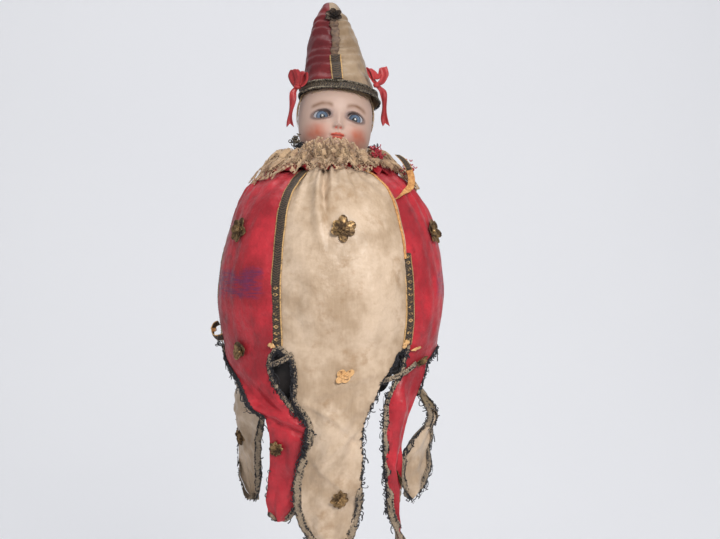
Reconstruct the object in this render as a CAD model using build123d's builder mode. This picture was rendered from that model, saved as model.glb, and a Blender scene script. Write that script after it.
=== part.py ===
"""Jester hand puppet: a bisque head with a pointed hat over a hollow satin costume of six gores.

Millimetres, +Z up, the face looks along -Y. The origin is the centre of the hand opening, at the
level of the notches where the gores end and the six lappets hang down. A bearing is the angle
about Z from the front (-Y), positive towards the object's +X side.
"""

import os
from math import asin, atan2, cos, degrees, radians, sin, sqrt

from build123d import *

# Costume wall: a belly arc and a shoulder arc, tangent to each other, in (radius, height).
belly_radius = 165
belly_center = Vector(-88, 36)
shoulder_radius = 52
join_angle = 17
rim_height = 1.4
satin = 0.9
lining = 0.8
braid = 0.8

# Inner sleeve, one cloth with the body lining and seen dark in the notches: (radius, height).
sleeve_outline = [
    (72.7, 5),
    (72.3, 3.6),
    (70.6, -0.2),
    (63, -38),
    (62.2, -38),
    (69.8, -0.2),
    (71.2, 3.6),
    (71.6, 5),
]

# Gores: the front one is wider than the other five.
front_span = 71
front_start = -27
other_span = (360 - front_span) / 5
gore_names = [
    "front_cream",
    "right_red",
    "right_back_cream",
    "back_red",
    "left_back_cream",
    "left_red",
]
seam_names = ["front_left", "front_right", "side_right", "back_right", "back_left", "side_left"]
seam_braid_width = 7
peeled_braid_width = 1.6
peel_height = 62

# Lappets, one under each gore: bearing of the tongue's middle, half its width, its length, and the
# radius of the hanging cloth half way down and at the tip.
lappet_top = -0.5
lappet_radius = 73
lappet_edge_gap = 1.2
lappets = {
    "front_cream": dict(tongue=1, half=20, length=140, middle=66.5, tip=52),
    "right_red": dict(tongue=49, half=14, length=133, middle=66, tip=56),
    "right_back_cream": dict(tongue=112, half=19, length=109, middle=70, tip=60),
    "back_red": dict(tongue=188, half=19, length=124, middle=66, tip=52),
    "left_back_cream": dict(tongue=-112, half=17, length=110, middle=68, tip=58),
    "left_red": dict(tongue=-37, half=13, length=115, middle=66, tip=55),
}
trim_width = 5.5

# Pressed foil flowers.
flower_radius = 8.5
lappet_flower_radius = 7.5
lappet_flower_margin = 7.8
lappet_flower_shares = (0.14, 0.66)
lappet_flower_lift = 0.5
gore_flower_height = 75
front_flower_bearing = 10
flower_petals = 6
foil = 0.6

# Neck and head. The head's own axis leans back and to +X from the pivot.
pivot_height = 121
lean_back = 12
lean_side = 4.5
face_turn = 7
neck_radius = 13.5
neck_flange_radius = 14.8
neck_bore_radius = 11
band_radius = 15.2
neck_clearance = 0.4
head_width = 51
head_wall = 2.6
crown_cut = 57
eye_radius = 6.6
eye_spread = 11.4
eye_height = 31.5
eye_opening = (10.6, 7)
eye_inset = 9.6
nose_low = 21.5
nose_root = 3.8
nose_reach = 2.2
jaw_height = 10
cheek_height = 34
crown_radius = 20
finger_bore_radius = 9.5
tube_low = -24
tube_high = 17

# Hat: a cone with a bulging side. Its brim is square to the head, and its tip leans to -X.
brim_level = 50
brim_center = Vector(4.4, 10.4, 170)
hat_lean_back = 16
hat_lean_side = -5
brim_radius = 25.4
hat_shoulder = (9.5, 66)
hat_height = 75
hat_paper = 0.7
band_height = 6.5
hat_braid_width = 8
hat_braid_gap = 1
hat_braid_length = 18
hat_flower_radius = 5.5
hat_flower_height = 59
hat_flower_reach = 13.4
ribbon = 0.5
ribbon_width = 5

# Ruff of gathered lace: outlines in (radius, height).
ruff_outline = [
    (26, 121.9),
    (26, 126.5),
    (34, 131),
    (45, 131),
    (54, 124),
    (57, 114),
    (53, 112.8),
    (46, 118),
    (36, 121.4),
]
frill_outline = [(28.6, 128.2), (31, 138.5), (34, 138.5), (35.4, 131.9)]
frill_span = 124

# Peeled end of the front right seam braid, outlines in (radius, height).
loose_bearing = 52
loose_low = 100
loose_high = 130
loose_curve = [(58.4, 131), (62.5, 122), (64.2, 112), (66.5, 103.5)]
loose_thick = 0.9


def outward(bearing):
    """Unit vector pointing away from the Z axis at a bearing."""
    return Vector(sin(radians(bearing)), -cos(radians(bearing)), 0)


def section(bearing):
    """Half plane through the Z axis: local X is the radius and local Y is the height."""
    radius = outward(bearing)
    return Plane(origin=(0, 0, 0), x_dir=radius, z_dir=radius.cross(Vector(0, 0, 1)))


def facing(bearing):
    """Vertical plane through the Z axis that looks outward along a bearing."""
    return Plane(origin=(0, 0, 0), x_dir=outward(bearing + 90), z_dir=outward(bearing))


def wall_radius(height):
    """Radius of the costume's outer face on the belly arc."""
    return belly_center.X + sqrt(belly_radius**2 - (height - belly_center.Y) ** 2)


def wall_plane(bearing, height):
    """Plane tangent to the belly, looking outward."""
    rise = asin((height - belly_center.Y) / belly_radius)
    normal = outward(bearing) * cos(rise) + Vector(0, 0, sin(rise))
    point = outward(bearing) * wall_radius(height) + Vector(0, 0, height)
    return Plane(origin=point, x_dir=outward(bearing + 90), z_dir=normal)


def wall_lines(inset, outset, low, high_angle=90):
    """Closed outline of the wall between two offsets of its outer face."""
    start = degrees(asin((low - belly_center.Y) / belly_radius))
    direction = Vector(cos(radians(join_angle)), sin(radians(join_angle)))
    shoulder_center = belly_center + direction * (belly_radius - shoulder_radius)
    ends = []
    for offset_by in (inset, outset):
        belly = CenterArc(belly_center, belly_radius + offset_by, start, join_angle - start)
        shoulder = CenterArc(
            shoulder_center, shoulder_radius + offset_by, join_angle, high_angle - join_angle
        )
        ends.append((belly @ 0, shoulder @ 1))
    Line(ends[0][0], ends[1][0])
    Line(ends[0][1], ends[1][1])


def save(part, name):
    """Label a finished piece and write its STEP file."""
    part.label = name
    export_step(part, f"parts/{name}.step")


def gore_start(index):
    return front_start if index == 0 else front_start + front_span + other_span * (index - 1)


def gore_span(index):
    return front_span if index == 0 else other_span


def gore_middle(index):
    return gore_start(index) + gore_span(index) / 2


def draw_flower(radius):
    """Petals round a centre, in the current sketch."""
    with PolarLocations(radius * 0.62, flower_petals):
        Circle(radius * 0.38)
    Circle(radius * 0.5)


os.makedirs("parts", exist_ok=True)

# --- Costume: gores, lining and seam braids ---------------------------------------------------
for index, name in enumerate(gore_names):
    with BuildPart() as gore:
        with BuildSketch(section(gore_start(index))):
            with BuildLine():
                wall_lines(-satin, 0, rim_height)
            make_face()
        revolve(axis=Axis.Z, revolution_arc=gore_span(index))
    save(gore.part, f"gore_{name}")

with BuildPart() as body_lining:
    with BuildSketch(section(0)):
        with BuildLine():
            wall_lines(-satin - lining, -satin, rim_height)
        make_face()
        with BuildLine():
            Polyline(*sleeve_outline, close=True)
        make_face()
    revolve(axis=Axis.Z)
save(body_lining.part, "body_lining")

for index, name in enumerate(seam_names):
    peeled = name == "front_right"
    with BuildPart() as seam_braid:
        with BuildSketch(section(gore_start(index) - 30)):
            with BuildLine():
                wall_lines(0, braid, rim_height, 84)
            make_face()
        revolve(axis=Axis.Z, revolution_arc=60)
        with BuildSketch(facing(gore_start(index))):
            full_height = peel_height if peeled else pivot_height
            with Locations((0, full_height / 2)):
                Rectangle(seam_braid_width, full_height)
            if peeled:
                with Locations((0, pivot_height / 2)):
                    Rectangle(peeled_braid_width, pivot_height)
        extrude(amount=100, mode=Mode.INTERSECT)
    save(seam_braid.part, f"seam_braid_{name}")

with BuildPart() as gore_flowers:
    for index in range(len(gore_names)):
        bearing = front_flower_bearing if index == 0 else gore_middle(index)
        with BuildSketch(wall_plane(bearing, gore_flower_height)):
            draw_flower(flower_radius)
        extrude(amount=foil)
save(gore_flowers.part, "gore_flowers")

# --- Lappets -----------------------------------------------------------------------------------


def lappet_arc(shape, offset_by):
    """Hanging cloth in (radius, height), moved outward by a thickness."""
    return ThreePointArc(
        (lappet_radius + offset_by, lappet_top),
        (shape["middle"] + offset_by, -shape["length"] / 2),
        (shape["tip"] + offset_by, -shape["length"]),
    )


def cloth_radius(shape, height):
    """Radius of the hanging cloth's outer face at a height."""
    share = -height / shape["length"]
    bow = 4 * (shape["middle"] - (lappet_radius + shape["tip"]) / 2)
    return lappet_radius + (shape["tip"] - lappet_radius) * share + bow * share * (1 - share)


def tongue_shift(index, shape):
    """How far the tongue's middle hangs to one side of the gore's middle."""
    return shape["middle"] * sin(radians(shape["tongue"] - gore_middle(index)))


def leaf_lines(index, shape, inset):
    """Leaf outline of a lappet, for its facing plane, shrunk by an inset."""
    length = shape["length"] - inset
    shift = tongue_shift(index, shape)
    half = shape["half"] - inset
    top_half = lappet_radius * sin(radians(gore_span(index) / 2)) - lappet_edge_gap - inset
    above = 12
    Line((-top_half, above), (top_half, above))
    for side in (-1, 1):
        corner = side * top_half
        Line((corner, above), (corner, lappet_top))
        Spline(
            (corner, lappet_top),
            (0.42 * corner + 0.58 * (shift + side * half), -0.26 * length),
            (shift + side * half, -0.52 * length),
            (shift + side * half * 0.95, -0.80 * length),
            (shift, -length),
            tangents=[(0, -1), (-side, 0)],
        )


def hanging_layer(index, shape, low, high, inset=0.0, hollow=None):
    """One cloth layer of a lappet between two thickness offsets, cut to its leaf."""
    bearing = gore_middle(index)
    with BuildPart() as layer:
        with BuildSketch(section(bearing - 60)):
            with BuildLine():
                inner = lappet_arc(shape, low)
                outer = lappet_arc(shape, high)
                Line(inner @ 0, outer @ 0)
                Line(inner @ 1, outer @ 1)
            make_face()
        revolve(axis=Axis.Z, revolution_arc=120)
        with BuildSketch(facing(bearing)):
            with BuildLine():
                leaf_lines(index, shape, inset)
            make_face()
        extrude(amount=100, mode=Mode.INTERSECT)
        if hollow is not None:
            with BuildSketch(facing(bearing)):
                with BuildLine():
                    leaf_lines(index, shape, hollow)
                make_face()
            extrude(amount=100, mode=Mode.SUBTRACT)
    return layer.part


for index, name in enumerate(gore_names):
    shape = lappets[name]
    save(hanging_layer(index, shape, -satin, 0), f"lappet_{name}_satin")
    save(hanging_layer(index, shape, -satin - lining, -satin, inset=1), f"lappet_{name}_lining")
    trim = hanging_layer(index, shape, 0, braid, hollow=trim_width)
    save(trim, f"lappet_{name}_trim")
    with BuildPart() as lappet_flowers:
        for share in lappet_flower_shares:
            height = -share * shape["length"]
            spread = share / lappet_flower_shares[-1]
            swing = (shape["tongue"] - gore_middle(index) + 180) % 360 - 180
            bearing = gore_middle(index) + swing * spread
            slope = atan2(cloth_radius(shape, height) - cloth_radius(shape, height - 1), 1)
            normal = outward(bearing) * cos(slope) + Vector(0, 0, -sin(slope))
            point = outward(bearing) * (cloth_radius(shape, height) + lappet_flower_lift)
            point += Vector(0, 0, height)
            with BuildSketch(Plane(origin=point, x_dir=outward(bearing + 90), z_dir=normal)):
                draw_flower(min(lappet_flower_radius, shape["half"] - lappet_flower_margin))
            extrude(amount=foil)
    save(lappet_flowers.part, f"lappet_{name}_flowers")

# --- Ruff and loose braid ----------------------------------------------------------------------
with BuildPart() as ruff_lower:
    with BuildSketch(section(0)):
        with BuildLine():
            Polyline(*ruff_outline, close=True)
        make_face()
    revolve(axis=Axis.Z)
save(ruff_lower.part, "ruff_lower")

with BuildPart() as ruff_upper:
    with BuildSketch(section(-frill_span / 2)):
        with BuildLine():
            Polyline(*frill_outline, close=True)
        make_face()
    revolve(axis=Axis.Z, revolution_arc=frill_span)
save(ruff_upper.part, "ruff_upper")

# The peeled top of the front right seam braid stands up from the shoulder and falls back on it.
with BuildPart() as loose_braid:
    with BuildSketch(facing(loose_bearing)):
        with Locations((0, (loose_low + loose_high) / 2)):
            Rectangle(seam_braid_width, loose_high - loose_low)
    extrude(amount=100)
    with BuildSketch(section(loose_bearing - 12)):
        with BuildLine():
            near = Spline(*loose_curve)
            far = Spline(*[(radius + loose_thick, height) for radius, height in loose_curve])
            Line(near @ 0, far @ 0)
            Line(near @ 1, far @ 1)
        make_face()
    revolve(axis=Axis.Z, revolution_arc=24, mode=Mode.INTERSECT)
save(loose_braid.part, "loose_braid")

# --- Neck --------------------------------------------------------------------------------------
side, back = radians(lean_side), radians(lean_back)
neck = Plane(
    origin=(0, 0, pivot_height),
    x_dir=(cos(side), 0, -sin(side)),
    z_dir=(sin(side) * cos(back), sin(back), cos(side) * cos(back)),
)
turned = radians(face_turn)
head = Plane(
    origin=neck.origin,
    x_dir=neck.x_dir * cos(turned) + neck.y_dir * sin(turned),
    z_dir=neck.z_dir,
)
head_section = Plane(origin=head.origin, x_dir=head.x_dir, z_dir=-head.y_dir)
head_axis = Axis(head.origin, head.z_dir)


def at_head(x, y, z):
    """A point given in the head's own frame."""
    return head.from_local_coords(Vector(x, y, z))


with BuildPart() as neck_band:
    with BuildSketch(head.offset(-2.2)):
        Circle(band_radius)
        Circle(neck_radius + neck_clearance, mode=Mode.SUBTRACT)
    extrude(amount=4.4)
save(neck_band.part, "neck_band")

with BuildPart() as neck_cord:
    with BuildSketch(head_section):
        with Locations((17, 0)):
            Circle(0.7)
    revolve(axis=head_axis)
save(neck_cord.part, "neck_cord")

# --- Head --------------------------------------------------------------------------------------
with BuildPart() as bisque_head:
    with BuildSketch(head_section):
        with BuildLine():
            outer = ThreePointArc(
                (neck_radius, jaw_height),
                (head_width / 2, cheek_height),
                (crown_radius, crown_cut),
            )
            inner = ThreePointArc(
                (neck_bore_radius, jaw_height + 2.5),
                (head_width / 2 - head_wall, cheek_height),
                (crown_radius - 2.4, crown_cut),
            )
            Line(outer @ 1, inner @ 1)
            Polyline(
                outer @ 0,
                (neck_radius, -3.6),
                (neck_flange_radius, -4.2),
                (neck_flange_radius, -6.5),
                (neck_bore_radius, -6.5),
                inner @ 0,
            )
        make_face()
    revolve(axis=head_axis)
    for side_x in (-1, 1):
        eye_center = at_head(side_x * eye_spread, eye_inset - head_width / 2, eye_height)
        with Locations(eye_center):
            Sphere(eye_radius + 0.1, mode=Mode.SUBTRACT)
        lid = Plane(origin=eye_center, x_dir=head.x_dir, z_dir=-head.y_dir)
        with BuildSketch(lid):
            Ellipse(eye_opening[0] / 2, eye_opening[1] / 2)
        extrude(amount=20, mode=Mode.SUBTRACT)
    with BuildSketch(head_section.offset(head_width / 2 - nose_root)):
        with BuildLine():
            Polyline((-2.6, nose_low), (2.6, nose_low), (0, nose_low + 10), close=True)
        make_face()
    extrude(amount=nose_root + nose_reach)
save(bisque_head.part, "bisque_head")

for eye_name, side_x in (("eye_left", -1), ("eye_right", 1)):
    with BuildPart() as eye:
        with Locations(at_head(side_x * eye_spread, eye_inset - head_width / 2, eye_height)):
            Sphere(eye_radius)
    save(eye.part, eye_name)

with BuildPart() as finger_tube:
    with BuildSketch(head.offset(tube_low)):
        Circle(neck_bore_radius)
        Circle(finger_bore_radius, mode=Mode.SUBTRACT)
    extrude(amount=tube_high - tube_low)
save(finger_tube.part, "finger_tube")

with BuildPart() as pate:
    with BuildSketch(head.offset(crown_cut)):
        Circle(19.4)
    extrude(amount=8)
    fillet(pate.faces().sort_by(head_axis)[-1].edges(), radius=7)
save(pate.part, "pate")

with BuildPart() as wig:
    with BuildSketch(head_section):
        with BuildLine():
            hair_in = ThreePointArc((25.7, 28), (26.1, 35), (25.7, 42))
            hair_out = ThreePointArc((27.3, 27.6), (27.8, 35), (27.4, 42))
            Line(hair_in @ 0, hair_out @ 0)
            Line(hair_in @ 1, hair_out @ 1)
        make_face()
    revolve(axis=head_axis, revolution_arc=180)
save(wig.part, "wig")

# --- Hat ---------------------------------------------------------------------------------------
hat_side, hat_back = radians(hat_lean_side), radians(hat_lean_back)
hat = Plane(
    origin=brim_center,
    x_dir=(cos(hat_side), 0, -sin(hat_side)),
    z_dir=(sin(hat_side) * cos(hat_back), sin(hat_back), cos(hat_side) * cos(hat_back)),
)
hat_section = Plane(origin=hat.origin, x_dir=hat.x_dir, z_dir=-hat.y_dir)
hat_axis = Axis(hat.origin, hat.z_dir)
brim_plane = head.offset(brim_level)


def hat_side(thick):
    """Side of the hat's outer face in (radius, height), moved outward by a thickness."""
    shoulder = (hat_shoulder[0] + thick, hat_shoulder[1])
    low = (brim_radius + thick + 2, -5)
    return ThreePointArc(low, (19.8 + thick, 28), shoulder)


with BuildPart() as hat_stiffener:
    with BuildSketch(hat_section):
        with BuildLine():
            inner, outer = hat_side(-hat_paper), hat_side(0)
            Line(inner @ 0, outer @ 0)
            Line(inner @ 1, outer @ 1)
        make_face()
    revolve(axis=hat_axis)
    split(bisect_by=brim_plane, keep=Keep.TOP)
save(hat_stiffener.part, "hat_stiffener")

for hat_name, kept_side in (("hat_cream", Keep.TOP), ("hat_red", Keep.BOTTOM)):
    with BuildPart() as hat_half:
        with BuildSketch(hat_section):
            with BuildLine():
                inner, outer = hat_side(0), hat_side(satin)
                inner_tip = TangentArc(inner @ 1, (0, hat_height - satin), tangent=inner % 1)
                outer_tip = TangentArc(outer @ 1, (0, hat_height), tangent=outer % 1)
                Line(inner @ 0, outer @ 0)
                Line(inner_tip @ 1, outer_tip @ 1)
            make_face()
        revolve(axis=hat_axis)
        split(bisect_by=brim_plane, keep=Keep.TOP)
        split(bisect_by=Plane(hat.origin, z_dir=hat.x_dir), keep=kept_side)
    save(hat_half.part, hat_name)

for trim_name in ("hat_brim_braid", "hat_seam_braid"):
    with BuildPart() as hat_braid:
        with BuildSketch(hat_section):
            with BuildLine():
                inner, outer = hat_side(satin), hat_side(satin + braid)
                Line(inner @ 0, outer @ 0)
                Line(inner @ 1, outer @ 1)
            make_face()
        revolve(axis=hat_axis)
        split(bisect_by=brim_plane, keep=Keep.TOP)
        if trim_name == "hat_brim_braid":
            split(bisect_by=brim_plane.offset(band_height), keep=Keep.BOTTOM)
        else:
            with BuildSketch(hat_section):
                with Locations((0, band_height + hat_braid_gap + hat_braid_length / 2)):
                    Rectangle(hat_braid_width, hat_braid_length)
            extrude(amount=60, mode=Mode.INTERSECT)
    save(hat_braid.part, trim_name)

with BuildPart() as hat_flower:
    slope = Plane(
        origin=hat_section.from_local_coords(Vector(0, hat_flower_height, hat_flower_reach)),
        x_dir=hat.x_dir,
        z_dir=hat.z_dir * sin(radians(17)) - hat.y_dir * cos(radians(17)),
    )
    with BuildSketch(slope):
        draw_flower(hat_flower_radius)
    extrude(amount=foil)
save(hat_flower.part, "hat_flower")

# --- Ribbon bows and their tails, one each side of the hat -------------------------------------
bows = {
    "left": dict(knot=(-23, -2, 179), lean=12, tail=(-26, -3, 174), drift=-1.5),
    "right": dict(knot=(31.5, -2, 180), lean=-14, tail=(35, -3, 174.5), drift=3.5),
}
tail_length = 24
for side_name, bow in bows.items():
    across = Plane(origin=bow["knot"], x_dir=(1, 0, 0), z_dir=(0, -1, 0))
    with BuildPart() as ribbon_bow:
        for loop_turn in (bow["lean"], bow["lean"] + 180):
            with BuildSketch(across.rotated((0, 0, loop_turn))):
                with Locations((0, 6)):
                    Ellipse(3.6, 5.4)
                    Ellipse(3.6 - ribbon, 5.4 - ribbon, mode=Mode.SUBTRACT)
            extrude(amount=ribbon_width / 2, both=True)
        with Locations(across):
            Box(5, 4, ribbon_width + 1)
    save(ribbon_bow.part, f"bow_{side_name}")

    hang = Plane(origin=bow["tail"], x_dir=(1, 0, 0), z_dir=(0, -1, 0))
    drift = bow["drift"]
    half = ribbon_width / 2
    with BuildPart() as ribbon_tail:
        with BuildSketch(hang):
            with BuildLine():
                Polyline(
                    (-half, -0.6),
                    (half, -0.6),
                    (half + drift, -tail_length),
                    (drift, 3 - tail_length),
                    (drift - half, -tail_length),
                    close=True,
                )
            make_face()
        extrude(amount=ribbon)
    save(ribbon_tail.part, f"tail_{side_name}")
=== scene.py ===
"""The looks of the jester hand puppet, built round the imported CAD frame.

Lengths in the making functions are millimetres, like the part's own; mesh_piece() turns them into
the frame's metres. The puppet faces -Y. A bearing is the angle about Z from the front, in degrees,
positive towards +X.
"""

import math
import random

import bpy
import numpy as np
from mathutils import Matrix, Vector


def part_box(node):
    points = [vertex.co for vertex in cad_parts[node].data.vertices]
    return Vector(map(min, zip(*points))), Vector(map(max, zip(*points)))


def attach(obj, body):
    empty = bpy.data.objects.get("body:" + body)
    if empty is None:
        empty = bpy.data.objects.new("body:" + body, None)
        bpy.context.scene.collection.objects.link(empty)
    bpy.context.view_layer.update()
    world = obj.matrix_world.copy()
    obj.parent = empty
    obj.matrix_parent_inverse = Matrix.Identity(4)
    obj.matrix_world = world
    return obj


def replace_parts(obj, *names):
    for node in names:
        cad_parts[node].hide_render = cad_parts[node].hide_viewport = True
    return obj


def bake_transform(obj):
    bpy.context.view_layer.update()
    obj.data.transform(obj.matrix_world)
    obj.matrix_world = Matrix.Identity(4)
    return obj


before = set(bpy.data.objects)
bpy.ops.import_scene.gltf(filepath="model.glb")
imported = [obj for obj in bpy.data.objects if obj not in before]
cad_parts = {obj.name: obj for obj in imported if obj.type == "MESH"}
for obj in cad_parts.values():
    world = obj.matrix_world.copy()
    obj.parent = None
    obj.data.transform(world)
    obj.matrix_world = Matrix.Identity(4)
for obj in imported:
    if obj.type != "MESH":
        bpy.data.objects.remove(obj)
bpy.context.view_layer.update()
MM = 0.001

# --- Sizes: the costume's wall is two arcs, a belly and a shoulder, turned about Z ---------------
rim_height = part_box("gore_front_cream")[0][2] / MM
belly_center, belly_radius = (-88.0, 36.0), 165.0
shoulder_radius, join_angle = 52.0, math.radians(17)
front_start, front_span = -27.0, 71.0
other_span = (360 - front_span) / 5
lappet_radius = 73.0
arc_gap = belly_radius - shoulder_radius
shoulder_center = (belly_center[0] + arc_gap * math.cos(join_angle),
                   belly_center[1] + arc_gap * math.sin(join_angle))
belly_start = math.asin((rim_height - belly_center[1]) / belly_radius)
belly_length = belly_radius * (join_angle - belly_start)
shoulder_length = shoulder_radius * (math.radians(89) - join_angle)
wall_length = belly_length + shoulder_length


# --- Small mathematics --------------------------------------------------------------------------
def smooth(x, low, high):
    """0 below low, 1 above high, and a smooth step between."""
    t = np.clip((np.asarray(x, float) - low) / (high - low), 0, 1)
    return t * t * (3 - 2 * t)


def bell(x, middle, width):
    """A smooth bump of height 1."""
    return np.exp(-(((np.asarray(x, float) - middle) / width) ** 2))


def ripple(points, wavelength, seed, stretch=(1, 1, 1)):
    """Smooth random waves through space, about one unit high."""
    waves = 8
    rng = np.random.default_rng(seed)
    way = rng.normal(size=(waves, 3))
    way /= np.linalg.norm(way, axis=1)[:, None]
    way *= (2 * np.pi / wavelength) * rng.uniform(0.6, 1.5, (waves, 1)) / np.array(stretch)
    phase = rng.uniform(0, 2 * np.pi, waves)
    return np.sin(np.asarray(points) @ way.T + phase).sum(-1) / math.sqrt(waves / 2) / 1.6


def through(knots, at):
    """A smooth curve through (value, height) knots, read at heights; knots run downwards."""
    value, height = np.array(knots, float).T
    s, x = -height, -np.asarray(at, float)
    slope = np.gradient(value, s)
    i = np.clip(np.searchsorted(s, x) - 1, 0, len(s) - 2)
    h = s[i + 1] - s[i]
    t = np.clip((x - s[i]) / h, 0, 1)
    a = (2 * t**3 - 3 * t**2 + 1) * value[i] + (t**3 - 2 * t**2 + t) * h * slope[i]
    return a + (3 * t**2 - 2 * t**3) * value[i + 1] + (t**3 - t**2) * h * slope[i + 1]


def around(radius, bearing, height):
    """Points from radius, bearing in degrees and height."""
    b = np.radians(bearing)
    return np.stack(np.broadcast_arrays(radius * np.sin(b), -radius * np.cos(b), height), axis=-1)


def unit(v):
    return v / np.maximum(np.linalg.norm(v, axis=-1, keepdims=True), 1e-12)


# --- Making pieces ------------------------------------------------------------------------------
def mesh_piece(name, points, faces, material, slot, body=None, uv=None, paint=None):
    """A smooth mesh from points in millimetres; uv is one pair for each point."""
    mesh = bpy.data.meshes.new(name)
    mesh.from_pydata((np.asarray(points).reshape(-1, 3) * MM).tolist(), [], [list(f) for f in faces])
    mesh.validate()
    mesh.polygons.foreach_set("use_smooth", [True] * len(mesh.polygons))
    if uv is not None:
        layer = mesh.uv_layers.new(name="along")
        flat = np.asarray(uv, float).reshape(-1, 2)
        index = np.zeros(len(mesh.loops), np.int32)
        mesh.loops.foreach_get("vertex_index", index)
        layer.data.foreach_set("uv", flat[index].ravel())
    if paint is not None:
        colors = mesh.color_attributes.new("paint", "FLOAT_COLOR", "POINT")
        colors.data.foreach_set("color", np.asarray(paint, float).ravel())
    piece = bpy.data.objects.new(name, mesh)
    bpy.context.scene.collection.objects.link(piece)
    mesh.materials.append(material)
    if body:
        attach(piece, body)
    return piece


def grid_faces(rows, columns, closed=False):
    """Quads of a grid of points, row by row; closed joins the last column to the first."""
    r, c = np.meshgrid(np.arange(rows - 1), np.arange(columns if closed else columns - 1), indexing="ij")
    n = (c + 1) % columns
    return np.stack(
        [r * columns + c, r * columns + n, (r + 1) * columns + n, (r + 1) * columns + c], -1
    ).reshape(-1, 4)


def surface(name, points, material, slot, body=None, closed=False, **layers):
    """A smooth sheet from a grid of points; closed joins the last column to the first."""
    faces = grid_faces(*points.shape[:2], closed)
    return mesh_piece(name, points, faces, material, slot, body, **layers)


def thicken(piece, depth):
    piece.modifiers.new("thickness", "SOLIDIFY").thickness = depth * MM


def band(name, material, slot, body, path, across, normal, width, thick, steps=7, relief=None):
    """A flat band with rounded edges along a path; its uv is (length in mm, share of the width)."""
    along = np.concatenate([[0], np.cumsum(np.linalg.norm(np.diff(path, axis=0), axis=1))])
    share = np.linspace(0, 1, steps)
    top = np.sin(np.pi * np.clip(share, 0.04, 0.96)) ** 0.45
    width = np.broadcast_to(width, len(path))[:, None, None]
    flat = path[:, None] + across[:, None] * (share[None, :, None] - 0.5) * width
    height = np.broadcast_to(top[None] * thick, (len(path), steps)).copy()
    if relief is not None:
        height += relief(along[:, None], share[None]) * top[None]
    upper = flat + normal[:, None] * height[..., None]
    lower = flat[:, ::-1] + normal[:, None] * (0.02 * thick)
    ring = np.concatenate([upper, lower], 1)
    count = 2 * steps
    faces = [list(f) for f in grid_faces(len(path), count, closed=True)]
    faces += [list(range(count)), [(len(path) - 1) * count + k for k in range(count)][::-1]]
    uv = np.zeros((len(path), count, 2))
    uv[..., 0] = along[:, None]
    uv[..., 1] = np.concatenate([share, share[::-1]])[None]
    return mesh_piece(name, ring, faces, material, slot, body, uv)


def tube(path, radius, sides=6):
    """A thin round thread along a path."""
    path = np.asarray(path, float)
    ahead = unit(np.gradient(path, axis=0))
    side = unit(np.cross(ahead, np.where(np.abs(ahead[:, 2:3]) > 0.9, [[1, 0, 0]], [[0, 0, 1]])))
    up = np.cross(side, ahead)
    turn = np.linspace(0, 2 * np.pi, sides, endpoint=False)
    taper = np.broadcast_to(radius, len(path))[:, None, None]
    ring = path[:, None] + taper * (
        np.cos(turn)[None, :, None] * side[:, None] + np.sin(turn)[None, :, None] * up[:, None]
    )
    faces = [list(f) for f in grid_faces(len(path), sides, closed=True)]
    faces += [list(range(sides))[::-1], [(len(path) - 1) * sides + k for k in range(sides)]]
    return ring.reshape(-1, 3), faces


def join(parts):
    """Join (points, faces) pairs into one."""
    points, faces, start = [], [], 0
    for p, f in parts:
        points.append(np.asarray(p).reshape(-1, 3))
        faces += [[start + i for i in face] for face in f]
        start += len(points[-1])
    return np.concatenate(points), faces


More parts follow.
